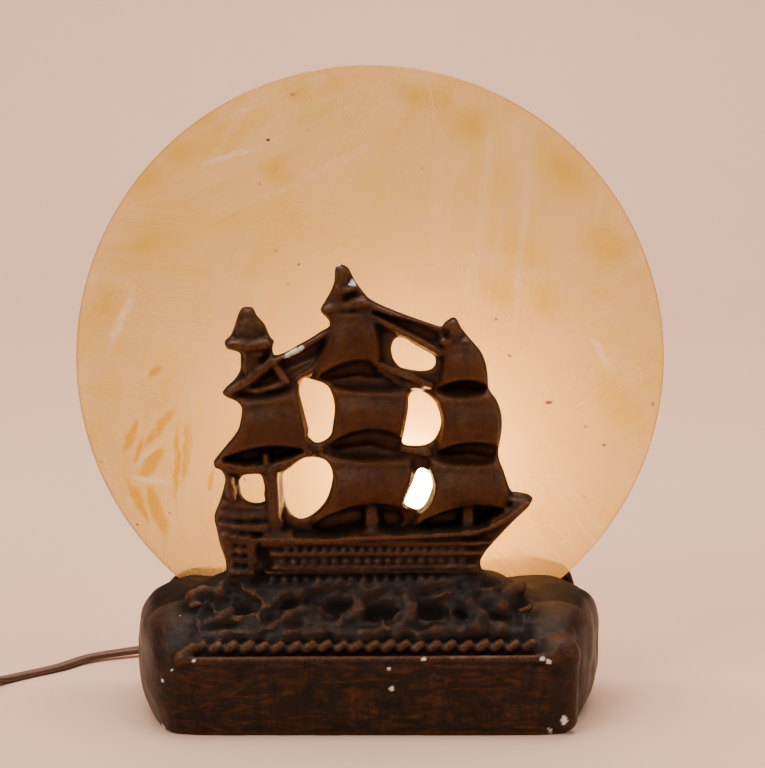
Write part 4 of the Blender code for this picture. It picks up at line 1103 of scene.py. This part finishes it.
def casting_field(voxel):
    """The casting as a distance field on a grid: negative inside. Also its axes and the sails' mask."""
    xs = np.arange(-100.0, 100.0 + voxel, voxel, dtype=np.float32)
    ys = np.arange(-58.0, 58.0 + voxel, voxel, dtype=np.float32)
    zs = np.arange(-2.6, 191.0 + voxel, voxel, dtype=np.float32)
    px, py = np.meshgrid(xs, ys, indexing="ij")
    low = int(np.searchsorted(zs, 66.0))
    gz = zs[None, None, :low]

    # plinth: sides that tuck in towards the floor at the ends, and a shaped top
    plan = to_outline(rounded_line(PLAN), px, py)[:, :, None]
    ends = ease(np.abs(px), 66, 96)[:, :, None]
    tuck = ends * (11.0 * (1 - ease(gz, -14, 22)) ** 1.6) + (1 - ends) * 1.2 * (1 - ease(gz, -1, 6))
    crown = ends * 3.0 * ease(gz, 30, 50) ** 1.5
    side = (plan + tuck + crown).astype(np.float32)
    side += (0.6 * lumps(5, px, py, 15))[:, :, None] * ends
    side += (0.55 * lumps(6, (px + py)[:, :, None], gz, 9) * ends).astype(np.float32)
    top = base_top(px, py).astype(np.float32)
    soft = blur(top, max(1, round(2.2 / voxel)), (0, 1))
    blend = ease(np.abs(px + 4), 56, 74) * (1 - ease(py, 34, 38))
    top = top * (1 - blend) + soft * blend
    slope_x, slope_y = np.gradient(blur(top, 1, (0, 1)), voxel)
    steep = np.sqrt(1 + slope_x ** 2 + slope_y ** 2)[:, :, None]
    over = (gz - top[:, :, None]) / steep
    rim = 1.2 + 4.6 * ends
    base = both(side, over, rim)
    # the front panel: flat with faint tool marks
    fx, fz = np.meshgrid(xs, zs[:low], indexing="ij")
    marks = 0.22 * lumps(41, fx, fz * 2.2, 9) + 0.12 * lumps(42, fx * 0.5, fz, 2.4)
    base += marks[:, None, :] * (1 - ease(py, -50, -40))[:, :, None]

    # the sea: rough lumps with sharp tops over the sloping front
    sea_x = xs[:, None, None]
    drift = 3.0 * lumps(61, sea_x, gz, 11)
    sharp = 1 - np.abs(lumps(62, sea_x + drift, 1.25 * gz + 0.5 * drift, 8.0))
    small = 1 - np.abs(lumps(63, sea_x - drift, 1.2 * gz, 3.6))
    sea = ease(gz, 36.5, 40) * (1 - ease(gz, 56, 60)) * (1 - ease(np.abs(sea_x + 2), 62, 76))
    base -= sea * (1 - ease(py, -32, -26))[:, :, None] * (1.9 * sharp ** 2 + 0.7 * small - 1.2)

    def near(a, b, reach):
        """The part of the plinth's grid round two points, and its coordinates."""
        axes = (xs, ys, zs[:low])
        box = tuple(slice(*np.searchsorted(axis, (min(p, q) - reach, max(p, q) + reach)))
                    for axis, p, q in zip(axes, a, b))
        x, y, z = (axis[part] for axis, part in zip(axes, box))
        return box, x[:, None, None], y[None, :, None], z[None, None, :]

    def merge(box, d, k, away):
        """Adds a body to the plinth, or takes it away."""
        base[box] = both(base[box], -d, k) if away else either(base[box], d, k)

    def rod(a, b, ra, rb, k, away=False):
        box, x, y, z = near(a, b, max(ra, rb) + 3 * k + 1)
        e = [b[n] - a[n] for n in range(3)]
        t = ((x - a[0]) * e[0] + (y - a[1]) * e[1] + (z - a[2]) * e[2]) / (sum(n * n for n in e) + 1e-9)
        t = np.clip(t, 0, 1)
        d = np.sqrt((x - a[0] - e[0] * t) ** 2 + (y - a[1] - e[1] * t) ** 2 + (z - a[2] - e[2] * t) ** 2)
        merge(box, d - (ra + (rb - ra) * t), k, away)

    def ball(centre, radii, k, away=False):
        box, *grid = near(centre, centre, max(radii) + 3 * k + 1)
        x, y, z = ((line - c) / r for line, c, r in zip(grid, centre, radii))
        merge(box, (np.sqrt(x ** 2 + y ** 2 + z ** 2) - 1) * min(radii), k, away)

    for x, z, wide, tall, deep in HOLLOWS:
        ball((x, slope_depth(z) - 0.6, z + 0.6), (wide, 0.55 * deep + 1.6, tall), 1.6, away=True)
    rng = np.random.default_rng(7)
    for points, size, stand in CRESTS:
        path = [(x, float(slope_depth(z)) + 2.5 - 0.9 * stand, z) for x, z in points]
        last = len(path) - 1
        for n, (a, b) in enumerate(zip(path, path[1:])):
            ra, rb = (size * (0.45 + 0.75 * math.sin(math.pi * (m + 0.5) / (last + 1))) for m in (n, n + 1))
            rod(a, b, ra, rb, 2.6)
            # the water's back falls away below each crest, steeper on its upper side
            rod((a[0], a[1] + 1.4, a[2] - 1.8), (b[0], b[1] + 1.4, b[2] - 1.8), ra + 1.0, rb + 1.0, 3.4)
    for x in np.arange(-72, 66, 2.9):
        z = 38.5 + 17 * rng.uniform()
        lean, reach = rng.uniform(-1, 4), rng.uniform(0.6, 1.3)
        in_hollow = any(((x - hx) / (half + 2.5)) ** 2 + ((z - hz) / (high + 2.5)) ** 2 < 1
                        for hx, hz, half, high, _ in HOLLOWS)
        if in_hollow:
            continue
        y = float(slope_depth(z))
        rod((x, y + 1.3, z), (x + lean, y + 0.9, z + 1.2), reach, 0.6 * reach, 1.6)
    # rope of slanting beads over the panel, its ledge and the groove under it
    rod((-76, -52.0, 30.6), (74, -52.0, 31.4), 1.7, 1.7, 0.9)
    rod((-70, -50.8, 32.8), (67, -50.8, 33.4), 0.6, 0.6, 0.9, away=True)
    count = 22
    for n in range(count):
        x = -68.0 + 132.0 * n / (count - 1) + rng.uniform(-0.35, 0.35)
        z = 34.6 + 0.9 * n / (count - 1) + rng.uniform(-0.25, 0.25)
        fat = rng.uniform(2.45, 2.85)
        rod((x - 1.3, -47.6, z - 0.8), (x + 1.3, -47.0, z + 0.8), fat - 0.1, fat - 0.35, 0.5)
    # the moulding turns up at the panel's left end; at the right stands a post with a hollow flute
    rod((-75.5, -50.6, 31.5), (-71, -48.8, 35.0), 3.0, 2.2, 2.0)
    rod((78.6, -47.6, 6), (79.2, -46.8, 30), 5.6, 5.2, 3.0)
    ball((76, -47, 33), (8, 6, 6), 4.0)
    rod((88.5, -41.0, 40), (87.6, -47.0, 12), 3.4, 2.4, 2.2, away=True)

    # ship: relief in front, gentle relief behind, cut to its outline with draft from the parting plane
    field = np.full((len(xs), len(ys), len(zs)), 40.0, np.float32)
    field[:, :, :low] = base
    keep = slice(int(np.searchsorted(zs, SHIP_LOW)), len(zs))
    side_x = slice(int(np.searchsorted(xs, SHIP_LEFT)), int(np.searchsorted(xs, 74.0)))
    u, w = np.meshgrid(xs[side_x], zs[keep] - SHIP_LIFT, indexing="ij")
    front, sail_mask = ship_relief(u, w)
    outline = to_outline(rounded_line(SHIP_EDGE), u, w)
    holes = np.minimum.reduce([to_outline(rounded_line(hole), u, w) for hole in OPENINGS])
    edge = np.maximum(outline, -holes).astype(np.float32)
    back = 4.6 + 0.30 * (blur(front, 4, (0, 1)) - 4.0)
    back = np.clip(back, 3.5, 9.0)
    gx, gz2 = np.gradient(front, voxel)
    lean = np.sqrt(1 + np.minimum(gx * gx + gz2 * gz2, 6.0))
    gy = (ys - SHIP_Y)[None, :, None]
    before = ((-front)[:, None, :] - gy) / lean[:, None, :]
    behind = gy - back[:, None, :]
    cutter = edge[:, None, :] + np.where(gy < 0, -0.15 * gy, 0.10 * gy)
    ship = both(both(cutter, before, 1.5), behind, 1.5)
    part = (side_x, slice(None), keep)
    field[part] = either(field[part], ship, 2.2)

    # what the lamp's works need: slot, bay, hole for the nipple, well and groove, cord hole
    gx, gy, gz = xs[:, None, None], ys[None, :, None], zs[None, None, :]

    def slab(g, low, high):
        return np.abs(g - (low + high) / 2) - (high - low) / 2

    def box_cut(x0, x1, y0, y1, z0, z1, k):
        return both(both(slab(gx, x0, x1), slab(gy, y0, y1), k), slab(gz, z0, z1), k)

    def tube_cut(x, y, r, z0, z1):
        return both(np.sqrt((gx - x) ** 2 + (gy - y) ** 2) - r, slab(gz, z0, z1), 0.3)

    wall = DISC_THICK / 2 + 0.35
    long = SLOT_HALF + 0.5
    field = both(field, -box_cut(-long, long, DISC_Y - wall, DISC_Y + wall, SLOT_FLOOR, ABOVE, 0.4), 0.7)
    field = both(field, -tube_cut(BULB_X, BULB_Y, BAY_R, BAY_FLOOR, ABOVE), 0.9)
    for hole in (tube_cut(BULB_X, BULB_Y, STEM_HOLE_R, 5, 30),
                 tube_cut(BULB_X, BULB_Y, WELL_R, BELOW, WELL_TOP),
                 box_cut(EXIT_X - 4, BULB_X, BULB_Y - 4, BULB_Y + 4, BELOW, 8.5, 0.4),
                 box_cut(EXIT_X - 4, EXIT_X + 4, BULB_Y - 3, 44, BELOW, 8.7, 0.4)):
        field = both(field, -hole, 0.3)
    exit_hole = np.sqrt((gx - EXIT_X) ** 2 + (gz - EXIT_Z) ** 2) - 4.0 + np.clip(34 - gy, 0, None)
    field = both(field, -exit_hole, 0.3)
    field = both(field, -gz + 0.02, 0.5)
    return field, xs, ys, zs, sail_mask


def skin(field, xs, ys, zs):
    """A closed quad mesh over the field's zero level, one point to a crossed cell."""
    inside = field < 0
    corners = [(i, j, k) for i in (0, 1) for j in (0, 1) for k in (0, 1)]
    size = [n - 1 for n in field.shape]
    count = np.zeros(size, np.uint8)
    for i, j, k in corners:
        count += inside[i:i + size[0], j:j + size[1], k:k + size[2]]
    active = np.argwhere((count > 0) & (count < 8))
    ids = np.full(size, -1, np.int32)
    ids[tuple(active.T)] = np.arange(len(active))
    values = np.stack([field[active[:, 0] + i, active[:, 1] + j, active[:, 2] + k] for i, j, k in corners], 1)
    total = np.zeros((len(active), 3), np.float64)
    hits = np.zeros(len(active))
    for a in range(8):
        for b in range(a + 1, 8):
            ca, cb = np.array(corners[a]), np.array(corners[b])
            if np.abs(ca - cb).sum() != 1:
                continue
            va, vb = values[:, a], values[:, b]
            crossed = (va < 0) != (vb < 0)
            t = np.where(crossed, va / np.where(crossed, va - vb, 1), 0)
            total += (ca + (cb - ca) * t[:, None]) * crossed[:, None]
            hits += crossed
    spots = active + total / hits[:, None]
    step = xs[1] - xs[0]
    spots = spots * step + np.array([xs[0], ys[0], zs[0]])
    quads = []
    for axis in range(3):
        others = [n for n in range(3) if n != axis]
        a = [slice(None)] * 3
        b = [slice(None)] * 3
        a[axis], b[axis] = slice(0, -1), slice(1, None)
        sa, sb = inside[tuple(a)], inside[tuple(b)]
        for flip, crossed in ((False, sa & ~sb), (True, ~sa & sb)):
            at = np.argwhere(crossed)
            good = (at[:, others[0]] > 0) & (at[:, others[1]] > 0)
            good &= (at[:, others[0]] < size[others[0]]) & (at[:, others[1]] < size[others[1]])
            at = at[good]
            ring = []
            for d0, d1 in ((-1, -1), (0, -1), (0, 0), (-1, 0)):
                shift = at.copy()
                shift[:, others[0]] += d0
                shift[:, others[1]] += d1
                ring.append(ids[tuple(shift.T)])
            quad = np.stack(ring, 1)
            if flip != (axis == 1):
                quad = quad[:, ::-1]
            quads.append(quad)
    return spots, np.concatenate(quads)


def sample(field, spots, origin, step):
    """The field's value at points between the grid's own."""
    at = (spots - origin) / step
    i = np.clip(np.floor(at).astype(int), 0, np.array(field.shape) - 2)
    f = at - i
    value = 0.0
    for a in (0, 1):
        for b in (0, 1):
            for c in (0, 1):
                share = 1.0
                for n, upper in enumerate((a, b, c)):
                    share = share * (f[:, n] if upper else 1 - f[:, n])
                value = value + share * field[i[:, 0] + a, i[:, 1] + b, i[:, 2] + c]
    return value


def casting():
    """The whole casting as one mesh, with the layers that the paint reads."""
    field, xs, ys, zs, sail_mask = casting_field(VOXEL)
    spots, quads = skin(field, xs, ys, zs)
    origin = np.array([xs[0], ys[0], zs[0]])
    mesh = bpy.data.meshes.new("casting")
    mesh.vertices.add(len(spots))
    mesh.vertices.foreach_set("co", (spots * MM).astype(np.float32).ravel())
    mesh.loops.add(quads.size)
    mesh.loops.foreach_set("vertex_index", quads.ravel().astype(np.int32))
    mesh.polygons.add(len(quads))
    mesh.polygons.foreach_set("loop_start", np.arange(0, quads.size, 4, dtype=np.int32))
    mesh.update(calc_edges=True)
    mesh.validate()
    mesh.shade_smooth()
    # how much each point stands out of, or lies in, what is round it
    wide = max(1, round(1.6 / VOXEL))
    here = sample(field, spots, origin, VOXEL)
    fine = sample(blur(field, wide, (0, 1, 2)), spots, origin, VOXEL) - here
    broad = sample(blur(np.clip(field, -6, 6), 3 * wide, (0, 1, 2)), spots, origin, VOXEL) - here
    # the high spots get rubbed wear and a painted highlight
    rub_and_highlight = np.clip(fine * 1.9 + broad * 0.18 - 0.16, 0, 1)
    hollow = np.clip(-fine * 1.5 - broad * 0.65 - 0.05, 0, 1)
    x, y, z = spots.T
    on_ship = (z > SHIP_LOW) & (y < -8)
    iu = np.clip(np.round((x - SHIP_LEFT) / VOXEL).astype(int), 0, sail_mask.shape[0] - 1)
    iw = np.clip(np.round((z - SHIP_LOW) / VOXEL).astype(int), 0, sail_mask.shape[1] - 1)
    at_sail = np.where(on_ship, np.maximum(sail_mask[iu, iw], 0.55 * ease(z, 60, 72)), 0)
    panel = (1 - ease(z, 29.5, 32.5)) * (1 - ease(y, -51, -46)) * (1 - ease(np.abs(x + 2), 70, 80))
    plain = np.maximum(ease(y, -24, -18), ease(np.abs(x), 68, 78))
    panel = np.maximum(panel, 0.42 * (1 - ease(z, 52, 58)) * plain)
    normals = np.empty(len(spots) * 3, np.float32)
    mesh.vertices.foreach_get("normal", normals)
    # painted shade and a dull finish go on tops facing up behind the front and on the ship's faces that turn
    # away from the front
    level = ease(normals[2::3], 0.6, 0.9) * (z < 60) * (y > -24)
    level = np.maximum(level, on_ship * ease(normals[1::3], -0.45, -0.1))
    rub_and_highlight = rub_and_highlight * (0.55 + 0.45 * ease(z, 31, 33)) * (1 - 0.8 * level)
    slope = ease(z, 36.5, 38.5) * (1 - ease(z, 56, 60)) * (1 - ease(y, -30, -26))
    slope = slope * (1 - ease(np.abs(x + 2), 66, 74))
    # on the sloping sea the rubbed wear and painted highlight sit on the crests' tops
    on_sea = np.clip(fine * 2.6 + (broad - 0.4) * 0.35 - 0.42, 0, 0.95)
    rub_and_highlight = np.clip(rub_and_highlight * (1 - slope) + slope * on_sea, 0, 1)
    rng = np.random.default_rng(19)
    rough = lumps(51, x + 0.7 * z, y - 0.8 * z, 0.9) * 0.35 + rng.uniform(-0.08, 0.08, len(spots))
    chip = np.zeros(len(spots))
    for cx, cy, cz, size in CHIPS:
        d = np.sqrt((x - cx) ** 2 + 0.35 * (y - cy) ** 2 + (z - cz) ** 2) / size
        chip = np.maximum(chip, 1 - ease(d + rough, 0.8, 1.05))
    for name, values in (("rub_and_highlight", rub_and_highlight), ("hollow", hollow), ("sail", at_sail), ("panel", panel),
                         ("chip", chip), ("level", level)):
        layer = mesh.attributes.new(name, "FLOAT", "POINT")
        layer.data.foreach_set("value", np.asarray(values, np.float32))
    obj = bpy.data.objects.new("casting", mesh)
    bpy.context.scene.collection.objects.link(obj)
    mesh.materials.append(BRONZE)
    print("casting", len(spots), "points")
    return obj


casting_piece = casting()


# ---------------------------------------------------------------- disc

def disc():
    """The sheet: a fine round edge, with its straight foot in the slot."""
    foot = SLOT_FLOOR + 0.35
    start = math.asin((foot - DISC_Z) / DISC_R)
    steps = 300
    turn = math.pi - 2 * start
    outline = [(math.cos(start + turn * k / steps), math.sin(start + turn * k / steps))
               for k in range(steps + 1)]
    chord = [(outline[-1][0] + (outline[0][0] - outline[-1][0]) * k / 40, outline[0][1])
             for k in range(1, 40)]
    outline += chord
    half = DISC_THICK / 2

    def ring(radius, y):
        points = []
        for c, s in outline:
            z = DISC_Z + s * radius
            points.append((c * radius, DISC_Y + y, max(z, foot + (DISC_R - radius) * 0.15)))
        return points

    rings = [ring(r, -half) for r in (12, 40, 70, 100, 120, 125.6)]
    rings += [ring(126.5, -half + 0.15), ring(126.9, -half + 0.6), ring(126.95, 0), ring(126.9, half - 0.6),
              ring(126.5, half - 0.15)]
    rings += [ring(r, half) for r in (125.6, 120, 100, 70, 40, 12)]
    return add("sheet_disc", loft(rings), AMBER, 30.0)


disc_piece = disc()


# ---------------------------------------------------------------- socket and bulb

def socket():
    """The socket's body with its screw holes, and the threaded shell in it."""
    at = (BULB_X, BULB_Y, 0)
    low = BAY_FLOOR + 0.3
    top = SOCKET_TOP
    body = turned("porcelain", [
        (STEM_HOLE_R, low), (SOCKET_R - 1.2, low), (SOCKET_R - 0.3, low + 0.3), (SOCKET_R, low + 1.2),
        (SOCKET_R, 35.2), (15.8, 36.2), (15.2, 36.8), (15.0, 37.6), (15.2, 38.4), (15.6, 39),
        (15.6, top - 1.2), (15.4, top - 0.4), (15.0, top), (14.6, top), (14.4, top - 0.3), (14.4, 33.7),
        (3.0, 33.7), (3.0, 30), (STEM_HOLE_R, 30)], PORCELAIN, at, 96, ring=True)
    for side in (1, -1):
        cut(body, turned("hole", [(1.9, 9), (1.9, 20)], PORCELAIN, (BULB_X, BULB_Y, 29), 32,
                         tilt=Matrix.Rotation(side * math.pi / 2, 4, "Y")))
    # the shell is pressed into a helical thread, between a plain collar and a plain foot
    wave = []
    for k in range(73):
        z = 40.6 + 24.6 * k / 72
        lift = 0.2 * math.sin(2 * math.pi * (z - 41) / THREAD_PITCH) * (0.15 < k / 72 < 0.97)
        wave.append((13.72 + lift, z))
    profile = [(r + 0.18, z) for r, z in wave] + [(r - 0.22, z) for r, z in wave[::-1]]

    def twist(a, r, z):
        if 42.5 < z < 64.5:
            fade = min(1.0, (z - 42.5) / 2, (64.5 - z) / 2)
            base = 13.9 if r > 13.75 else 13.5
            return base + 0.2 * fade * math.sin(2 * math.pi * (z / THREAD_PITCH) - a), z
        return (13.95 if r > 13.75 else 13.55), z

    shell = turned("threaded_shell", profile, SHELL_BRASS, at, 72, ring=True, bend=twist)
    return body, shell


socket_piece, shell_piece = socket()


def bulb():
    """The glass globe and the threaded cap."""
    at = (BULB_X, BULB_Y, 0)
    outer = []
    for k in range(37):
        a = math.radians(90 - 138 * k / 36)
        outer.append((max(GLASS_R * math.cos(a), 0.02), GLASS_Z + GLASS_R * math.sin(a)))
    outer += [(12.15, 73.0), (11.85, 71.2), (11.7, 69.0), (11.6, 62.0)]
    inner = []
    for r, z in outer:
        out = Vector((r, z - GLASS_Z))
        if z > 75:
            out = out * (1 - 0.8 / out.length)
            inner.append((max(out.x, 0.02), GLASS_Z + out.y))
        else:
            inner.append((r - 0.8, z))
    glass = turned("glass_globe", outer + inner[::-1], LIT, at, 80, ring=True)
    profile = [(12.3, 68.8), (12.8, 68.9), (13.0, 68.2), (12.9, 67.2)]
    profile += [(12.7, 66.8 - 0.3 * k) for k in range(60)]
    profile += [(11.4, 48.4), (9.8, 47.3), (9.2, 47.3), (9.3, 47.9), (11.6, 50.2), (12.0, 51.5), (12.0, 68.0)]

    def twist(a, r, z):
        if r > 12.4 and 49.0 < z < 66.9:
            fade = min(1.0, (66.9 - z) / 1.5, (z - 49.0) / 1.5)
            return 12.65 + 0.3 * fade * math.sin(2 * math.pi * (z / THREAD_PITCH) - a), z
        return r, z

    cap = turned("screw_cap", profile, CAP_BRASS, at, 72, ring=True, bend=twist)
    return glass, cap


glass_piece, cap_piece = bulb()


def coiled_filament():
    """A fine helix hung in an arc between the two supports."""
    points = []
    turns, steps = 34, 10
    for n in range(turns * steps + 1):
        share = n / (turns * steps)
        a = math.pi * share
        x = BULB_X - 6.4 * math.cos(a)
        y = BULB_Y + 1.2 + 3 * math.sin(a)
        t = 2 * math.pi * n / steps
        out = Vector((math.cos(a), -math.sin(a), 0))
        points.append(Vector((x, y, 94.6)) + out * (0.28 * math.cos(t)) + Vector((0, 0, 0.28 * math.sin(t))))
    rings = []
    for i, spot in enumerate(points):
        ahead = points[min(i + 1, len(points) - 1)] - points[max(i - 1, 0)]
        ahead.normalize()
        side = ahead.orthogonal().normalized()
        top = ahead.cross(side)
        rings.append([spot + (side * math.cos(b) + top * math.sin(b)) * 0.07 for b in (0, 1.57, 3.14, 4.71)])
    return add("filament_coil", loft(rings), HOT, 60.0)


filament_piece = coiled_filament()


def slotted_screw(name, side):
    """A terminal screw on its side, with a slot in its head."""
    tilt = Matrix.Rotation(side * math.pi / 2, 4, "Y")
    centre = (BULB_X, BULB_Y, 29)
    screw = turned(name, [(0.2, 9.3), (1.5, 9.5), (1.6, 9.8), (1.6, 16.3), (2.9, 16.3), (3.0, 16.5),
                          (3.0, 17.2), (2.7, 17.6), (1.8, 17.95), (0.2, 18.05)], SCREW_STEEL, centre, 40,
                          tilt=tilt)
    slot = bar(-0.4, 0.4, -4, 4, 17.25, 19)
    slot.transform(Matrix.Translation(Vector(centre) * MM) @ tilt)
    cut(screw, add("slot", slot, SCREW_STEEL))
    return screw


screw_pieces = {side: slotted_screw("screw_" + word, side) for side, word in ((1, "r"), (-1, "l"))}


# ---------------------------------------------------------------- what stands for what

def stands(piece, slot, body, *nodes):
    """Says which body a piece rides on and hides its nodes; the slot argument is not used."""
    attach(piece, body)
    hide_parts(*nodes)


stands(casting_piece, "bronze_paint", "lamp", "ship_casting")
stands(disc_piece, "amber_sheet", "disc", "disc")
stands(socket_piece, "socket_body", "lamp", "socket_body")
stands(shell_piece, "shell_brass", "lamp", "socket_shell")
stands(glass_piece, "bulb_glass", "bulb", "bulb_glass")
stands(cap_piece, "cap_brass", "bulb", "bulb_cap")
stands(filament_piece, "tungsten", "bulb", "filament")
stands(screw_pieces[1], "screw_steel", "lamp", "terminal_screw_right")
stands(screw_pieces[-1], "screw_steel", "lamp", "terminal_screw_left")
stands(relief, "bush_rubber", "lamp", "strain_relief")
stands(cord_piece, "cord_brown", "lamp", "cord_out", "cord_link", "cord_coil", "cord_tail")
stands(tie_piece, "tie_paper", "lamp", "coil_tie")
stands(switch_bits["shell_lower"], "brown_phenolic", "lamp", "switch_lower")
stands(switch_bits["shell_upper"], "brown_phenolic", "lamp", "switch_upper")
stands(switch_bits["wheel"], "brown_phenolic", "thumbwheel", "switch_wheel")
stands(switch_bits["screw"], "screw_steel", "lamp", "switch_screw")
stands(plug_piece, "plug_brown", "lamp", "plug_body")

KEPT = {
    "socket_block": FIBRE, "centre_contact": SPRING_BRASS, "socket_nipple": ZINC, "nipple_washer": ZINC,
    "nipple_nut": ZINC, "lead_left": CORD, "lead_right": CORD, "cap_insulator": BLACK,
    "tip_contact": SOLDER, "bulb_stem": STEM, "support_left": WIRE, "support_right": WIRE,
    "cord_inside": CORD, "switch_nut": SCREW_STEEL, "plug_card": CARD, "blade_front": BLADE_BRASS,
    "blade_back": BLADE_BRASS}
for name, mat in KEPT.items():
    for slot_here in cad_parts[name].material_slots:
        slot_here.material = mat


# ---------------------------------------------------------------- stage

def stage():
    """A pale floor that curves up into a wall, and soft light from big panels."""
    p = Paint("backdrop", (0.84, 0.63, 0.51), 0.6, Specular_IOR_Level=0.2)
    p.colour(p.mix(p.noise(6, 4, 0.6), (0.79, 0.520, 0.365), (0.82, 0.550, 0.395)))
    p.bump(p.noise(140, 4, 0.6), 0.2, 0.2)
    profile = [(-3000, 0), (-1200, 0), (0, 0), (1000, 0), (1500, 0)]
    for k in range(1, 17):
        a = math.pi / 2 * k / 16
        profile.append((1500 + 600 * math.sin(a), 600 - 600 * math.cos(a)))
    profile += [(2100, 1500), (2100, 3200)]
    bm = bmesh.new()
    rows = [[bm.verts.new(Vector((x, y, z)) * MM) for x in (-3500, 0, 3500)] for y, z in profile]
    for low, high in zip(rows, rows[1:]):
        for i in range(2):
            bm.faces.new((low[i], low[i + 1], high[i + 1], high[i]))
    floor = add("backdrop", bm, p.mat, 60.0)
    for name, place, aim, size, power, tint in (
            ("key", (-1.0, -1.1, 1.5), (0, 0, 0.1), 1.0, 22, (1.0, 0.92, 0.86)),
            ("fill", (1.4, -0.9, 1.0), (0, 0, 0.1), 1.2, 9, (1.0, 0.91, 0.84)),
            ("top", (0.0, 0.1, 1.9), (0, 0.1, 0), 1.6, 23, (1.0, 0.92, 0.86)),
            ("wall", (0.0, 0.9, 2.2), (0, 2.1, 0.2), 1.8, 52, (1.0, 0.90, 0.82))):
        data = bpy.data.lights.new(name, "AREA")
        data.size = size
        data.energy = power
        data.color = tint
        light = bpy.data.objects.new(name, data)
        light.location = place
        light.rotation_euler = (Vector(aim) - Vector(place)).to_track_quat("-Z", "Y").to_euler()
        bpy.context.scene.collection.objects.link(light)
    world = bpy.data.worlds.new("soft")
    world.use_nodes = True
    world.node_tree.nodes["Background"].inputs["Color"].default_value = (1.0, 0.92, 0.85, 1.0)
    world.node_tree.nodes["Background"].inputs["Strength"].default_value = 0.34
    bpy.context.scene.world = world


stage()
